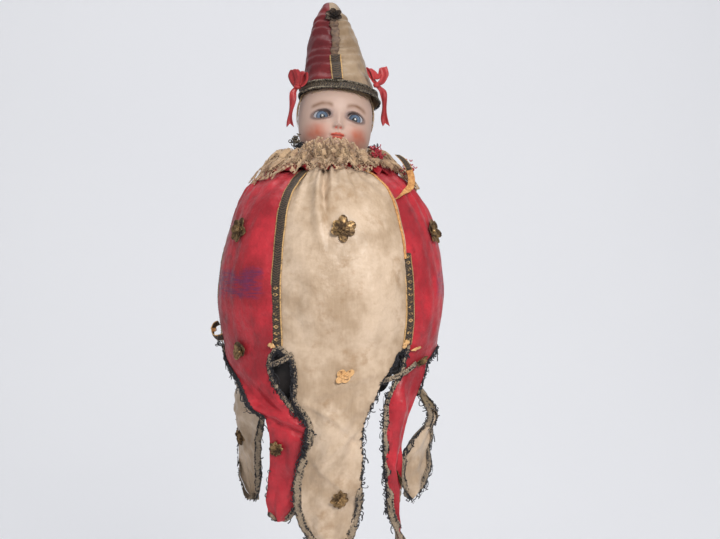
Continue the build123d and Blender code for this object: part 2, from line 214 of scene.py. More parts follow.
# --- Materials ----------------------------------------------------------------------------------
class Shader:
    """A material's node tree, built a line at a time."""

    def __init__(self, name, roughness=0.5, **sockets):
        self.material = bpy.data.materials.new(name)
        self.material.use_nodes = True
        self.tree = self.material.node_tree
        self.shader = self.tree.nodes["Principled BSDF"]
        self.shader.inputs["Roughness"].default_value = roughness
        for key, value in sockets.items():
            self.shader.inputs[key.replace("_", " ")].default_value = value

    def node(self, kind, **inputs):
        made = self.tree.nodes.new(kind)
        for key, value in inputs.items():
            self.put(made.inputs[int(key[1:]) if key[1:].isdigit() else key.replace("_", " ")], value)
        return made

    def put(self, socket, value):
        if hasattr(value, "is_output"):
            self.tree.links.new(value, socket)
        else:
            socket.default_value = value

    def place(self, stretch=(1, 1, 1), kind="Object"):
        """Coordinates in millimetres: the object's own, or the strip's along and across."""
        source = self.node("ShaderNodeTexCoord").outputs[kind]
        scale = (1000, 1000, 1000) if kind == "Object" else (1, 1, 1)
        mapped = self.node("ShaderNodeMapping", Vector=source)
        mapped.inputs["Scale"].default_value = [s * t for s, t in zip(scale, stretch)]
        return mapped.outputs[0]

    def noise(self, where, scale, detail=3.0, rough=0.55, seed=0.0):
        made = self.node("ShaderNodeTexNoise", Vector=where, Scale=scale, Detail=detail, Roughness=rough)
        made.noise_dimensions = "4D"
        made.inputs["W"].default_value = seed
        return made.outputs["Fac"]

    def math(self, operation, a, b=0.0, clamp=False):
        made = self.node("ShaderNodeMath", i0=a, i1=b)
        made.operation = operation
        made.use_clamp = clamp
        return made.outputs[0]

    def times(self, a, b):
        return self.math("MULTIPLY", a, b)

    def plus(self, a, b, clamp=False):
        return self.math("ADD", a, b, clamp)

    def minus(self, a, b):
        return self.math("SUBTRACT", a, b)

    def ramp(self, value, low, high):
        """0 below low, 1 above high."""
        made = self.node("ShaderNodeMapRange", Value=value, From_Min=low, From_Max=high)
        made.interpolation_type = "SMOOTHSTEP"
        return made.outputs[0]

    def mix(self, share, a, b):
        made = self.tree.nodes.new("ShaderNodeMix")
        made.data_type = "RGBA"
        self.put(made.inputs[0], share)
        for socket, value in ((made.inputs[6], a), (made.inputs[7], b)):
            self.put(socket, (*value, 1) if isinstance(value, tuple) and len(value) == 3 else value)
        return made.outputs[2]

    def axis(self, where, name):
        return self.node("ShaderNodeSeparateXYZ", Vector=where).outputs[name]

    def wave(self, where, scale, direction="X", distortion=0.0):
        made = self.node("ShaderNodeTexWave", Vector=where, Scale=scale, Distortion=distortion)
        made.bands_direction = direction
        return made.outputs["Fac"]

    def color(self, value):
        self.put(self.shader.inputs["Base Color"], value)

    def rough(self, value):
        self.put(self.shader.inputs["Roughness"], value)

    def bump(self, height, distance, strength=1.0):
        made = self.node("ShaderNodeBump", Height=height, Strength=strength)
        made.inputs["Distance"].default_value = distance * MM
        if self.shader.inputs["Normal"].is_linked:
            self.put(made.inputs["Normal"], self.shader.inputs["Normal"].links[0].from_socket)
        self.put(self.shader.inputs["Normal"], made.outputs[0])


def satin_material(name, light, dark, stain, roughness, purple=None):
    """Worn silk satin: soft drift of colour, fine warp lines, stains and a low sheen."""
    s = Shader(name, roughness, Sheen_Weight=0.04, Sheen_Roughness=0.45, Specular_IOR_Level=0.3)
    s.shader.inputs["Anisotropic"].default_value = 0.45
    where = s.place()
    drift = s.ramp(s.noise(where, 0.035, 4, 0.6), 0.38, 0.64)
    color = s.mix(drift, dark, light)
    streak = s.ramp(s.noise(s.place((1, 1, 0.08)), 0.8, 3, 0.6, 3), 0.35, 0.7)
    color = s.mix(s.times(streak, 0.10), color, tuple(min(1, v * 1.3) for v in light))
    spots = s.ramp(s.noise(where, 0.07, 5, 0.62, 7), 0.53, 0.72)
    color = s.mix(s.times(spots, 0.6), color, stain)
    mottle = s.ramp(s.noise(where, 0.45, 4, 0.7, 13), 0.35, 0.75)
    color = s.mix(s.times(mottle, 0.22), color, dark)
    if purple:
        height, side = s.axis(where, "Z"), s.axis(where, "X")
        edge = s.times(s.minus(s.noise(where, 0.12, 4, 0.6, 11), 0.5), 16)
        level = s.plus(height, edge)
        band = s.times(s.ramp(level, 32, 37), s.ramp(level, 54, 48))
        left = s.ramp(s.plus(side, edge), -42, -47)
        right = s.times(s.ramp(side, 70, 73), 0.6)
        band = s.times(band, s.plus(left, right, clamp=True))
        thread = s.ramp(s.noise(s.place((0.12, 0.12, 1)), 1.1, 2, 0.5, 5), 0.3, 0.62)
        color = s.mix(s.times(band, s.times(thread, 0.85)), color, purple)
    s.color(color)
    s.rough(s.ramp(s.noise(where, 0.3, 3, 0.5, 2), -0.6, 1.9))
    weave = s.noise(s.place((1, 1, 0.2)), 3.2, 2, 0.5, 9)
    s.bump(weave, 0.06, 0.5)
    s.bump(s.noise(where, 0.32, 4, 0.6, 4), 0.9, 0.5)
    s.bump(s.noise(where, 0.11, 3, 0.5, 6), 2.4, 0.5)
    return s.material


def plain_cloth(name, light, dark, roughness=0.8, scale=1.2):
    """Matt woven cloth with threads both ways."""
    s = Shader(name, roughness, Sheen_Weight=0.15)
    where = s.place()
    color = s.mix(s.ramp(s.noise(where, 0.06, 4, 0.6), 0.35, 0.65), dark, light)
    threads = s.times(s.wave(where, scale, "Z", 0.6), s.wave(where, scale, "X", 0.6))
    color = s.mix(s.times(threads, 0.35), color, tuple(v * 0.55 for v in light))
    s.color(color)
    s.bump(threads, 0.12, 0.5)
    return s.material


def braid_material(name, ground, thread, edge, edge_share, key, pitch):
    """Woven braid on a strip: (along mm, across share) gives edge lines and the woven figure."""
    s = Shader(name, 0.6, Specular_IOR_Level=0.5)
    where = s.place(kind="UV")
    along, across = s.axis(where, "X"), s.axis(where, "Y")
    rng = s.noise(s.place(), 0.5, 4, 0.65, 1)
    slant = s.math("ABSOLUTE", s.minus(across, 0.5))
    herring = s.plus(s.times(along, 1 / pitch), s.times(slant, 2.2))
    herring = s.plus(herring, s.times(s.noise(s.place(), 0.45, 3, 0.6, 12), 1.1))
    weave = s.ramp(s.math("SINE", s.times(herring, 2 * math.pi)), -0.5, 0.7)
    fine = s.ramp(s.noise(s.place(), 2.2, 2, 0.6, 6), 0.3, 0.7)
    weave = s.times(weave, s.plus(0.45, s.times(fine, 0.55)))
    color = s.mix(weave, ground, thread)
    if key:
        cell = s.math("ABSOLUTE", s.minus(s.math("FRACT", s.math("DIVIDE", along, 4.2)), 0.5))
        block = s.plus(s.times(cell, 1.5), s.times(slant, 1.6))
        shown = s.times(s.ramp(block, 0.52, 0.44), s.ramp(block, 0.16, 0.24))
        worn = s.ramp(s.noise(s.place(), 0.35, 3, 0.6, 8), 0.42, 0.56)
        color = s.mix(s.times(shown, s.times(worn, 0.85)), color, edge)
    rim = s.times(s.ramp(slant, 0.5 - edge_share, 0.5 - edge_share * 0.5), s.ramp(rng, 0.3, 0.5))
    color = s.mix(s.times(rim, 0.9), color, edge)
    color = s.mix(s.ramp(rng, 0.62, 0.8), color, tuple(v * 0.5 for v in ground))
    s.color(color)
    s.put(s.shader.inputs["Metallic"], s.times(weave, 0.35))
    s.bump(weave, 0.35, 0.8)
    return s.material


def gimp_material():
    """Worn tan gimp: fine crossed threads, dark stitches along both edges and tarnished patches."""
    s = Shader("tan_gimp", 0.75, Sheen_Weight=0.1)
    where = s.place(kind="UV")
    along, across = s.axis(where, "X"), s.axis(where, "Y")
    slant = s.math("ABSOLUTE", s.minus(across, 0.5))
    thread = s.math("SINE", s.plus(s.times(along, 7.2), s.times(slant, 16)))
    grain = s.noise(s.place(), 1.5, 3, 0.6, 6)
    color = s.mix(s.ramp(grain, 0.35, 0.65), (0.20, 0.145, 0.095), (0.37, 0.285, 0.195))
    color = s.mix(s.times(s.ramp(thread, 0.1, 0.9), 0.35), color, (0.12, 0.085, 0.055))
    stitch = s.ramp(s.math("SINE", s.times(along, 2.9)), -0.2, 0.5)
    worn = s.ramp(s.noise(s.place(), 0.25, 3, 0.6, 9), 0.36, 0.52)
    edge = s.times(s.times(stitch, s.ramp(slant, 0.30, 0.40)), worn)
    color = s.mix(s.times(edge, 0.92), color, (0.020, 0.018, 0.018))
    patch = s.ramp(s.noise(s.place(), 0.10, 4, 0.65, 3), 0.52, 0.66)
    color = s.mix(s.times(patch, 0.85), color, (0.040, 0.032, 0.026))
    s.color(color)
    s.bump(thread, 0.14, 0.5)
    s.bump(grain, 0.2, 0.5)
    return s.material


def foil_material(name, gold, tarnished):
    """Pressed gilt foil: dark tarnish over gold, gold left on high edges."""
    s = Shader(name, 0.42, Metallic=0.7)
    where = s.place()
    tarnish = s.ramp(s.noise(where, 0.24, 3, 0.6, 2), 0.34, 0.62)
    color = s.mix(tarnish, gold, tarnished)
    speck = s.ramp(s.noise(where, 0.9, 3, 0.6, 5), 0.62, 0.74)
    s.color(s.mix(s.times(speck, 0.6), color, (0.60, 0.40, 0.17)))
    s.rough(s.ramp(tarnish, -1.2, 2.0))
    s.bump(s.noise(where, 0.9, 3, 0.6, 3), 0.15, 0.5)
    return s.material


def foil_back_material():
    """The flower's bare golden paper back."""
    s = Shader("gilt_paper", 0.55)
    where = s.place()
    patch = s.ramp(s.noise(where, 0.6, 4, 0.6, 4), 0.52, 0.66)
    s.color(s.mix(patch, (0.62, 0.36, 0.15), (0.24, 0.12, 0.05)))
    s.bump(s.noise(where, 1.2, 4, 0.6, 7), 0.3, 0.6)
    return s.material


def lace_material(name, light, dark):
    """Aged cotton lace, with fine dark specks that stand for stains and for painted shade in its holes."""
    s = Shader(name, 0.85, Sheen_Weight=0.2)
    where = s.place()
    color = s.mix(s.ramp(s.noise(where, 0.12, 4, 0.6), 0.35, 0.62), dark, light)
    # Fine dark specks: stains, and painted shade standing for the holes.
    s.color(s.mix(s.ramp(s.noise(where, 1.8, 3, 0.6, 5), 0.55, 0.75), color, tuple(v * 0.45 for v in dark)))
    s.bump(s.noise(where, 2.5, 2, 0.6, 8), 0.2, 0.6)
    return s.material


def skin_material():
    """Painted bisque: the paint attribute carries the tints and the painted shade round the eyes, with a
    fine matt grain over it.
    """
    s = Shader("painted_bisque", 0.55, Subsurface_Weight=0.08, Coat_Weight=0.02, Coat_Roughness=0.4)
    s.shader.inputs["Subsurface Radius"].default_value = (0.002, 0.001, 0.0006)
    paint = s.node("ShaderNodeAttribute")
    paint.attribute_name = "paint"
    where = s.place()
    mottle = s.ramp(s.noise(where, 0.25, 4, 0.6), 0.3, 0.75)
    color = s.mix(s.times(mottle, 0.10), paint.outputs["Color"], (0.52, 0.35, 0.285))
    speck = s.ramp(s.noise(where, 2.2, 2, 0.5, 4), 0.70, 0.78)
    s.color(s.mix(s.times(speck, 0.35), color, (0.45, 0.30, 0.24)))
    s.bump(s.noise(where, 3.0, 3, 0.5, 2), 0.05, 0.4)
    return s.material


def lining_material():
    """Dark interlining in the body, olive glazed lining on the lappets."""
    s = Shader("lining", 0.65, Sheen_Weight=0.1)
    where = s.place()
    ragged = s.times(s.minus(s.noise(where, 0.2, 4, 0.6, 2), 0.5), 14)
    level = s.plus(s.axis(where, "Z"), ragged)
    glaze = s.ramp(s.noise(where, 0.08, 4, 0.6), 0.35, 0.65)
    olive = s.mix(glaze, (0.13, 0.092, 0.052), (0.24, 0.175, 0.10))
    dust = s.ramp(s.noise(where, 0.3, 4, 0.6), 0.35, 0.7)
    dark = s.mix(dust, (0.008, 0.007, 0.009), (0.024, 0.019, 0.020))
    s.color(s.mix(s.ramp(level, -34, -26), olive, dark))
    s.bump(s.noise(s.place((1, 1, 0.3)), 2.4, 2, 0.6, 4), 0.12, 0.5)
    return s.material


def eye_material():
    """Glass eye: uv is (degrees from the gaze, direction round it)."""
    s = Shader("glass_eye", 0.30, IOR=1.45, Coat_Weight=0.35, Coat_Roughness=0.10)
    where = s.place(kind="UV")
    off, around_it = s.axis(where, "X"), s.axis(where, "Y")
    ray = s.node("ShaderNodeCombineXYZ", X=s.times(off, 0.05), Y=s.times(around_it, 3.5))
    spoke = s.noise(ray.outputs[0], 4.0, 3, 0.6, 1)
    iris = s.mix(s.ramp(spoke, 0.36, 0.66), (0.045, 0.072, 0.12), (0.17, 0.23, 0.32))
    iris = s.mix(s.ramp(off, 29, 37), iris, (0.012, 0.018, 0.035))
    iris = s.mix(s.ramp(off, 16.0, 14.0), iris, (0.003, 0.003, 0.004))
    s.color(s.mix(s.ramp(off, 37.0, 39.0), iris, (0.36, 0.36, 0.39)))
    return s.material


def simple(name, light, dark, roughness, scale=0.8, **sockets):
    """A mottled, finely rough surface of one colour."""
    s = Shader(name, roughness, **sockets)
    where = s.place()
    s.color(s.mix(s.ramp(s.noise(where, scale, 4, 0.6), 0.38, 0.64), dark, light))
    s.bump(s.noise(where, scale * 2.5, 4, 0.6, 3), 0.15, 0.4)
    return s.material


RED = satin_material("red_satin", (0.47, 0.024, 0.036), (0.26, 0.014, 0.021), (0.12, 0.010, 0.014), 0.4,
                     (0.12, 0.020, 0.075))
CREAM = satin_material("cream_satin", (0.56, 0.43, 0.315), (0.36, 0.255, 0.165), (0.27, 0.155, 0.070), 0.4)
# The hat's satins are the costume's cream and red made much darker: painted shade over the whole hat.
SHADED_HAT_CREAM = satin_material(
    "shaded_hat_cream_satin", (0.34, 0.25, 0.165), (0.22, 0.15, 0.09), (0.15, 0.09, 0.045), 0.45)
SHADED_HAT_RED = satin_material(
    "shaded_hat_red_satin", (0.17, 0.016, 0.018), (0.10, 0.010, 0.013), (0.06, 0.01, 0.012), 0.5)
DARK = plain_cloth("dark_interlining", (0.022, 0.017, 0.017), (0.008, 0.007, 0.008), 0.95)
LINING = lining_material()
GIMP = gimp_material()
GALLOON = braid_material(
    "dark_galloon", (0.020, 0.014, 0.011), (0.13, 0.085, 0.050), (0.62, 0.38, 0.15), 0.13, False, 1.6)
KEY_GALLOON = braid_material(
    "key_galloon", (0.022, 0.015, 0.011), (0.12, 0.08, 0.045), (0.62, 0.38, 0.15), 0.13, True, 1.6)
BRIM_BRAID = braid_material(
    "brim_galloon", (0.018, 0.013, 0.010), (0.13, 0.092, 0.055), (0.30, 0.27, 0.23), 0.16, False, 1.9)
FRAY = simple("tarnished_thread", (0.035, 0.034, 0.040), (0.012, 0.012, 0.015), 0.45, Metallic=0.3)
TINSEL = simple("tinsel_cord", (0.26, 0.22, 0.16), (0.018, 0.014, 0.012), 0.35, 0.7, Metallic=0.6)
FOIL = foil_material("gilt_foil", (0.34, 0.21, 0.09), (0.075, 0.045, 0.025))
BLACK_FOIL = foil_material("blackened_foil", (0.07, 0.045, 0.03), (0.016, 0.012, 0.011))
PAPER = foil_back_material()
LACE = lace_material("tan_lace", (0.50, 0.345, 0.205), (0.25, 0.150, 0.085))
SKIN = skin_material()
EYE_GLASS = eye_material()
HAIR = simple("mohair", (0.58, 0.42, 0.26), (0.34, 0.22, 0.12), 0.6, 1.5)
RIBBON = satin_material("pink_ribbon", (0.44, 0.045, 0.045), (0.26, 0.022, 0.026), (0.2, 0.03, 0.04), 0.5)
CORD = simple("linen_thread", (0.55, 0.48, 0.36), (0.38, 0.32, 0.23), 0.8)
BOARD = simple("pasteboard", (0.40, 0.30, 0.19), (0.29, 0.21, 0.13), 0.85)
CORK = simple("cork", (0.45, 0.29, 0.16), (0.28, 0.17, 0.09), 0.85)
GLUE = simple("old_glue", (0.16, 0.095, 0.055), (0.075, 0.042, 0.028), 0.6, 0.4)
LASH = simple("painted_brown", (0.06, 0.035, 0.025), (0.03, 0.018, 0.014), 0.5)
ORANGE = simple("bare_gimp_backing", (0.62, 0.33, 0.11), (0.40, 0.17, 0.05), 0.7, 0.5)
LOOSE_RED = simple("frayed_silk", (0.50, 0.03, 0.05), (0.28, 0.015, 0.03), 0.55)

# --- Costume panels: a gore and the lappet under it are one cloth ---------------------------------
# A lappet's tongue is the bearing of its tip, half its half width, middle and tip how far it hangs from
# the axis. left and right are its cut edges as (bearing, height) where it isn't a plain leaf, and twist
# turns its hanging end about its middle.
PANELS = {
    "front_cream": dict(tongue=1, half=20, length=140, middle=66.5, tip=52),
    "right_red": dict(tongue=49, half=14, length=133, middle=66, tip=56),
    "right_back_cream": dict(tongue=112, half=19, length=109, middle=70, tip=60, twist=-58),
    "back_red": dict(tongue=188, half=19, length=124, middle=66, tip=52),
    "left_back_cream": dict(tongue=248, half=17, length=110, middle=68, tip=58, twist=52),
    "left_red": dict(tongue=323, half=13, length=115, middle=66, tip=55),
}
PANELS["front_cream"].update(
    left=[
        (-26.6, 0), (-21, -4), (-18.5, -12), (-18.5, -24), (-18.5, -34), (-13, -44), (-11.5, -54),
        (-13.5, -64), (-18.5, -78), (-21.5, -93), (-21.5, -106), (-17, -120), (-9, -131), (-2, -140)],
    right=[
        (43.6, 0), (38, -3), (36, -8), (32.5, -14), (28, -22), (25, -33), (21, -45), (19, -59),
        (19.3, -71), (18.5, -86), (20, -98), (19.5, -112), (17.5, -122), (12, -132), (0, -140)],
)
PANELS["right_red"].update(
    left=[
        (44.4, 0), (42, -5), (40.5, -15), (36, -26), (32.5, -43), (31, -60), (33.5, -77), (38, -88),
        (41, -99), (43, -113), (48, -123), (53, -133)],
    right=[
        (101.4, 0), (82, -2), (67.5, -7), (61.5, -18), (55.5, -31), (51.5, -45), (49, -60), (49, -78),
        (51, -95), (54, -113), (55, -124), (54, -133)],
)
PANELS["left_red"].update(
    left=[
        (275.6, 0), (283, -9), (294, -16), (305, -26), (314.5, -36), (322.5, -43), (324, -53),
        (321, -74), (317.5, -94), (315, -106), (316, -111), (321, -115)],
    right=[
        (332.6, 0), (329, -5), (328.5, -16), (332, -25), (338, -35), (347, -44), (353, -54),
        (352, -68), (349, -82), (344, -94), (338, -103), (331, -110.5), (325, -115)],
)
PANELS["left_back_cream"]["right"] = [
    (274.7, 0), (280, -8), (284, -20), (282, -36), (274, -52), (267, -68), (263, -82), (259, -95),
    (254, -105), (249, -110)]
PANELS["right_back_cream"]["left"] = [
    (102.2, 0), (120, -6), (133, -14), (138, -28), (137, -42), (125, -53), (106, -62), (95, -72),
    (93, -83), (97, -95), (104, -104), (111, -109)]


def cloth_radius(panel, height):
    """Radius of the hanging cloth's outer face."""
    share = -height / panel["length"]
    bow = 4 * (panel["middle"] - (lappet_radius + panel["tip"]) / 2)
    return lappet_radius + (panel["tip"] - lappet_radius) * share + bow * share * (1 - share)


def leaf_edge(panel, side):
    """(bearing, height) knots of a plain leaf-shaped lappet's edge."""
    middle = panel["start"] + panel["span"] / 2
    corner = side * (lappet_radius * math.sin(math.radians(panel["span"] / 2)) - 0.8)
    shift = panel["middle"] * math.sin(math.radians(panel["tongue"] - middle))
    half, length = panel["half"] * side, panel["length"]
    knots = [(corner, 0), (0.42 * corner + 0.58 * (shift + half), 0.26), (shift + half, 0.52),
             (shift + 0.97 * half, 0.74), (shift + 0.8 * half, 0.88), (shift + 0.4 * half, 0.97), (shift, 1)]
    edge = []
    for across, share in knots:
        height = -share * length
        edge.append((middle + math.degrees(math.asin(across / cloth_radius(panel, height))), height))
    return edge


start = front_start
for name, panel in PANELS.items():
    span = front_span if name == "front_cream" else other_span
    panel.update(start=start, span=span)
    panel.setdefault("left", leaf_edge(panel, -1))
    panel.setdefault("right", leaf_edge(panel, 1))
    panel.setdefault("twist", 0)
    start += span
SEAMS = [panel["start"] for panel in PANELS.values()]


def profile(v):
    """Radius, height and slope angle of the wall, v mm along it above the rim."""
    on_belly = v <= belly_length
    on_shoulder = join_angle + (v - belly_length) / shoulder_radius
    angle = np.where(on_belly, belly_start + v / belly_radius, on_shoulder)
    center_r, center_z = (np.where(on_belly, *pair) for pair in zip(belly_center, shoulder_center))
    size = np.where(on_belly, belly_radius, shoulder_radius)
    return center_r + size * np.cos(angle), center_z + size * np.sin(angle), angle


def seam_distance(bearing, radius):
    """Distance along the cloth to the nearest seam, in mm."""
    off = [np.abs((bearing - seam + 180) % 360 - 180) for seam in SEAMS]
    return np.radians(np.min(off, axis=0)) * radius


def wall_folds(bearing, v, radius):
    """How far the worn cloth stands off the plain wall: gathers at the neck, puckers at the seams."""
    place = around(radius, bearing, v)
    up = smooth(v, 70, 135)
    near = seam_distance(bearing, radius)
    turns = np.radians(bearing)
    pleats = np.sin(31 * turns + 1.3 * np.sin(5 * turns))
    pleats = pleats + 0.6 * np.sin(47 * turns + 2 * np.sin(3 * turns) + 1)
    folds = 1.5 * up * pleats * (0.55 + 0.45 * np.sin(4 * turns + 2))
    folds += 1.2 * ripple(place, 58, 3) + 0.42 * ripple(place, 14, 5, stretch=(1, 1, 1.8))
    folds -= 1.0 * bell(near, 0, 5.0) * smooth(v, 0, 12)
    folds += 0.30 * np.sin(v * 0.95 + 2 * np.sin(v * 0.21)) * bell(near, 6, 3.5)
    folds += 1.2 * (1 - bell(near, 0, 16.0)) * smooth(v, 4, 40)
    return folds


def front_pleat(bearing, v, radius):
    """The front gore's one deep pleat, its left part lapping over the right."""
    x = radius * np.sin(np.radians(bearing))
    line = -5.0 + 4.5 * smooth(v, 118, 55)
    deep = smooth(v, 48, 118)
    sharp = np.exp(-np.clip(x - line, 0, None) / 2.6) * (x > line) + bell(x, line, 0.7) * (x <= line)
    slit = bell(x - line, 0.7, 0.9) * smooth(v, 88, 118)
    folds = -3.4 * deep * sharp - 3.2 * slit + 2.6 * deep * bell(x - line, -4.0, 3.6)
    folds += 1.5 * smooth(v, 75, 120) * bell(x - line, 12, 3.0)
    return folds * (np.abs((bearing + 180) % 360 - 180) < 60)


# Sharp creases across a lappet: slope, height at its middle, how far the cloth stands up.
CREASES = {
    "front_cream": [(26, -26, 1.5), (-30, -47, 1.9), (34, -66, 1.8), (-38, -83, 1.4), (20, -98, 1.1)],
    "left_back_cream": [(-14, -52, 1.6), (16, -76, 1.2)],
    "right_red": [(-18, -40, 1.2), (20, -72, 1.4)],
    "back_red": [(24, -40, 1.5), (-26, -70, 1.5)],
}


def hanging_folds(name, u, z):
    """Folds and curls of the hanging lappets."""
    down = smooth(-z, 0, 45)
    length = PANELS[name]["length"]
    seed = list(PANELS).index(name)
    place = np.stack(np.broadcast_arrays(u * 50, z, seed * 40.0), -1)
    drape = ripple(place, 38, 21 + seed, stretch=(1, 1.5, 1))
    folds = down * (1.9 * drape + 0.7 * ripple(place, 14, 31 + seed))
    for slope, level, tall in CREASES.get(name, ()):
        line = z - level - slope * (u - 0.5)
        side = np.where(line > 0, 5.0, 1.6)
        folds += tall * bell(line, 0, side) * smooth(np.abs(u - 0.5), 0.62, 0.2)
    curl = np.clip(np.abs(u - 0.5) * 2, 0, 1) ** 3
    folds += down * 2.2 * curl * np.sin(z / 11.0 + seed + 2.5 * (u > 0.5))
    if name == "front_cream":
        folds += 3.2 * down * bell(u, 0.42, 0.22) - 2.0 * down * bell(u, 0.78, 0.10)
    if name == "left_red":
        crease = z + 49 + 16 * (u - 0.5)
        folds += 2.6 * bell(crease, 3, 4.5) * (crease > -1.5) - 1.6 * bell(crease, -3, 2.5)
        folds -= 5.0 * smooth(-z, 44, 62) * smooth(u, 0.45, 0.9)
    if name == "right_red":
        folds += 2.4 * down * np.sin((u - 0.1) * 5.5)
    if name == "right_back_cream":
        folds += 3.0 * smooth(-z, 45, 80) * (1 - u)
    return folds * smooth(-z, -2, length * 0.12)


def panel_point(name, u, v, lift=0.0):
    """Point of a panel: u across from its left edge, v mm along it, up from the rim or down."""
    u, v = np.broadcast_arrays(np.asarray(u, float), np.asarray(v, float))
    panel = PANELS[name]
    radius, height, angle = profile(np.clip(v, 0, None))
    bearing = panel["start"] + u * panel["span"]
    off = wall_folds(bearing, v, radius) * smooth(v, -6, 10) + lift
    if name == "front_cream":
        off = off + front_pleat(bearing, v, radius)
    upper = around(radius + off * np.cos(angle), bearing, height + off * np.sin(angle))

    z = np.clip(v + rim_height, None, 0)
    left, right = through(panel["left"], z), through(panel["right"], z)
    spot = left + (right - left) * u
    out = cloth_radius(panel, z) + hanging_folds(name, u, z) + lift + 0.4
    out = out + wall_folds(bearing, v * 0, radius) * smooth(v, -6, 10) * smooth(v, -30, 0)
    lower = around(out, spot, np.minimum(v + rim_height, rim_height))
    turn = np.radians(panel["twist"]) * smooth(-z, 4 if panel["twist"] > 0 else 12, 62)
    if panel["twist"]:
        pin = around(cloth_radius(panel, z), panel["tongue"] + 0 * z, z)
        arm = lower - pin
        spun_x = arm[..., 0] * np.cos(turn) - arm[..., 1] * np.sin(turn)
        spun_y = arm[..., 0] * np.sin(turn) + arm[..., 1] * np.cos(turn)
        lower = np.stack([pin[..., 0] + spun_x, pin[..., 1] + spun_y, lower[..., 2]], -1)
    share = smooth(v, -5, 5)[..., None]
    return upper * share + lower * (1 - share)


def panel_frame(name, u, v, lift=0.0):
    """Point, direction across, direction up and outward normal of a panel."""
    u, v = np.asarray(u, float), np.asarray(v, float)
    across = unit(panel_point(name, u + 0.01, v, lift) - panel_point(name, u - 0.01, v, lift))
    up = unit(panel_point(name, u, v + 0.8, lift) - panel_point(name, u, v - 0.8, lift))
    return panel_point(name, u, v, lift), across, up, unit(np.cross(across, up))


def hang(piece):
    """Bakes the piece's transform into its mesh."""
    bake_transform(piece)


def cloth_panel(title, name, rows, columns, lift, material, slot):
    """One surface of a panel, from the neck down to the lappet's tip; a lining has a lift inward."""
    upper = np.linspace(wall_length, 0, rows // 2, endpoint=False)
    lower = -(PANELS[name]["length"] + rim_height) * np.linspace(0, 1, rows - rows // 2) ** 0.97
    v, u = np.meshgrid(np.concatenate([upper, lower]), np.linspace(0, 1, columns), indexing="ij")
    if lift < 0:
        edge = smooth(np.minimum(u, 1 - u), 0, 0.06)
        lift = lift * np.where(v < 0, 0.3 + 0.5 * edge, 1)
    piece = surface(title, panel_point(name, u, v, lift), material, slot, uv=np.stack([v, u], -1))
    hang(piece)
    return piece


def build_costume():
    """Satin outside and lining inside, six panels."""
    for name, panel in PANELS.items():
        front = name == "front_cream"
        color = (RED, "red_satin") if name.endswith("red") else (CREAM, "cream_satin")
        cloth = cloth_panel(f"cloth_{name}", name, 150, 64 if front else 50, 0.0, *color)
        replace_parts(cloth, f"gore_{name}", f"lappet_{name}_satin")
        lining = cloth_panel(f"lining_{name}", name, 90, 90 if front else 30, -2.0, LINING, "dark_lining")
        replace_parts(lining, f"lappet_{name}_lining")
        panel["pieces"] = (cloth, lining)


def build_sleeve():
    """The dark inner sleeve that shows in the notches, short at the sides where none shows."""
    turn, h = np.meshgrid(np.linspace(-180, 180, 200), np.linspace(0, 1, 24), indexing="ij")
    a = np.radians(turn)
    drop = 38 + 3.0 * np.sin(5 * a + 1) + 2.0 * np.sin(11 * a) - 17 * bell(turn, 37, 15)
    drop -= 27 * smooth(np.abs(turn), 52, 62) * smooth(np.abs(turn), 150, 120)
    radius = 71.2 - 8.6 * h + (1.6 * np.sin(17 * a + 2 * np.sin(3 * a)) + 0.9 * np.sin(29 * a)) * h
    sleeve = surface("inner_sleeve", around(radius, turn, 3.5 - drop * h), DARK, "dark_lining", "costume")
    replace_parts(sleeve, "body_lining")


# --- Trims ----------------------------------------------------------------------------------------
def resample(path, step):
    """Evenly spaced points along a path; columns past the third are carried with them."""
    path = np.asarray(path)
    gone = np.concatenate([[0], np.cumsum(np.linalg.norm(np.diff(path, axis=0), axis=1))])
    at = np.linspace(0, gone[-1], max(4, int(gone[-1] / step)))
    return np.stack([np.interp(at, gone, column) for column in path.T], -1)


def soften(values, times):
    """Average each row with its neighbours, ends held."""
    values = np.array(values, float)
    for _ in range(times):
        values[1:-1] = (values[:-2] + 2 * values[1:-1] + values[2:]) / 4
    return values


def outline(name):
    """The lappet's cut edge, down the left side and up the right: points, inward way and normal."""
    count = 150
    down = -np.linspace(-1.2, PANELS[name]["length"] + rim_height - 0.3, count)
    point, _, _, normal = panel_frame(name, np.repeat([0, 1], count), np.concatenate([down, down[::-1]]))
    both = resample(np.concatenate([point, normal], 1), 0.7)
    edge, normal = soften(both[:, :3], 6), unit(soften(both[:, 3:6], 24))
    ahead = unit(np.gradient(edge, axis=0))
    inward = unit(np.cross(normal, ahead))
    return edge, inward, normal, ahead


def turned_under(name, share):
    """1 where a lappet's trim is folded to the inside, by share of the way round its edge."""
    if name == "front_cream":
        return smooth(share, 0.66, 0.70)
    if name == "left_red":
        return smooth(share, 0.02, 0.05) * smooth(share, 0.49, 0.47) + bell(share, 0.64, 0.05)
    if name == "right_red":
        return smooth(share, 0.52, 0.55)
    if name == "left_back_cream":
        return smooth(share, 0.40, 0.32)
    return np.zeros(len(share))


def fringe_at(name, share):
    """How many frayed loops stand on each step of the edge."""
    dense = np.full(len(share), 0.5)
    if name == "front_cream":
        dense = 0.5 + 2.6 * smooth(share, 0.27, 0.22) + 0.6 * smooth(share, 0.92, 0.95)
    if name == "left_red":
        dense = 3.6 * smooth(share, 0.27, 0.23) + 0.05 + 2.2 * smooth(share, 0.72, 0.80)
    if name == "right_red":
        dense = 1.7 * smooth(share, 0.40, 0.34) + 1.5 * smooth(share, 0.76, 0.84)
    if name == "right_back_cream":
        dense = 1.4 + 0 * share
    return dense


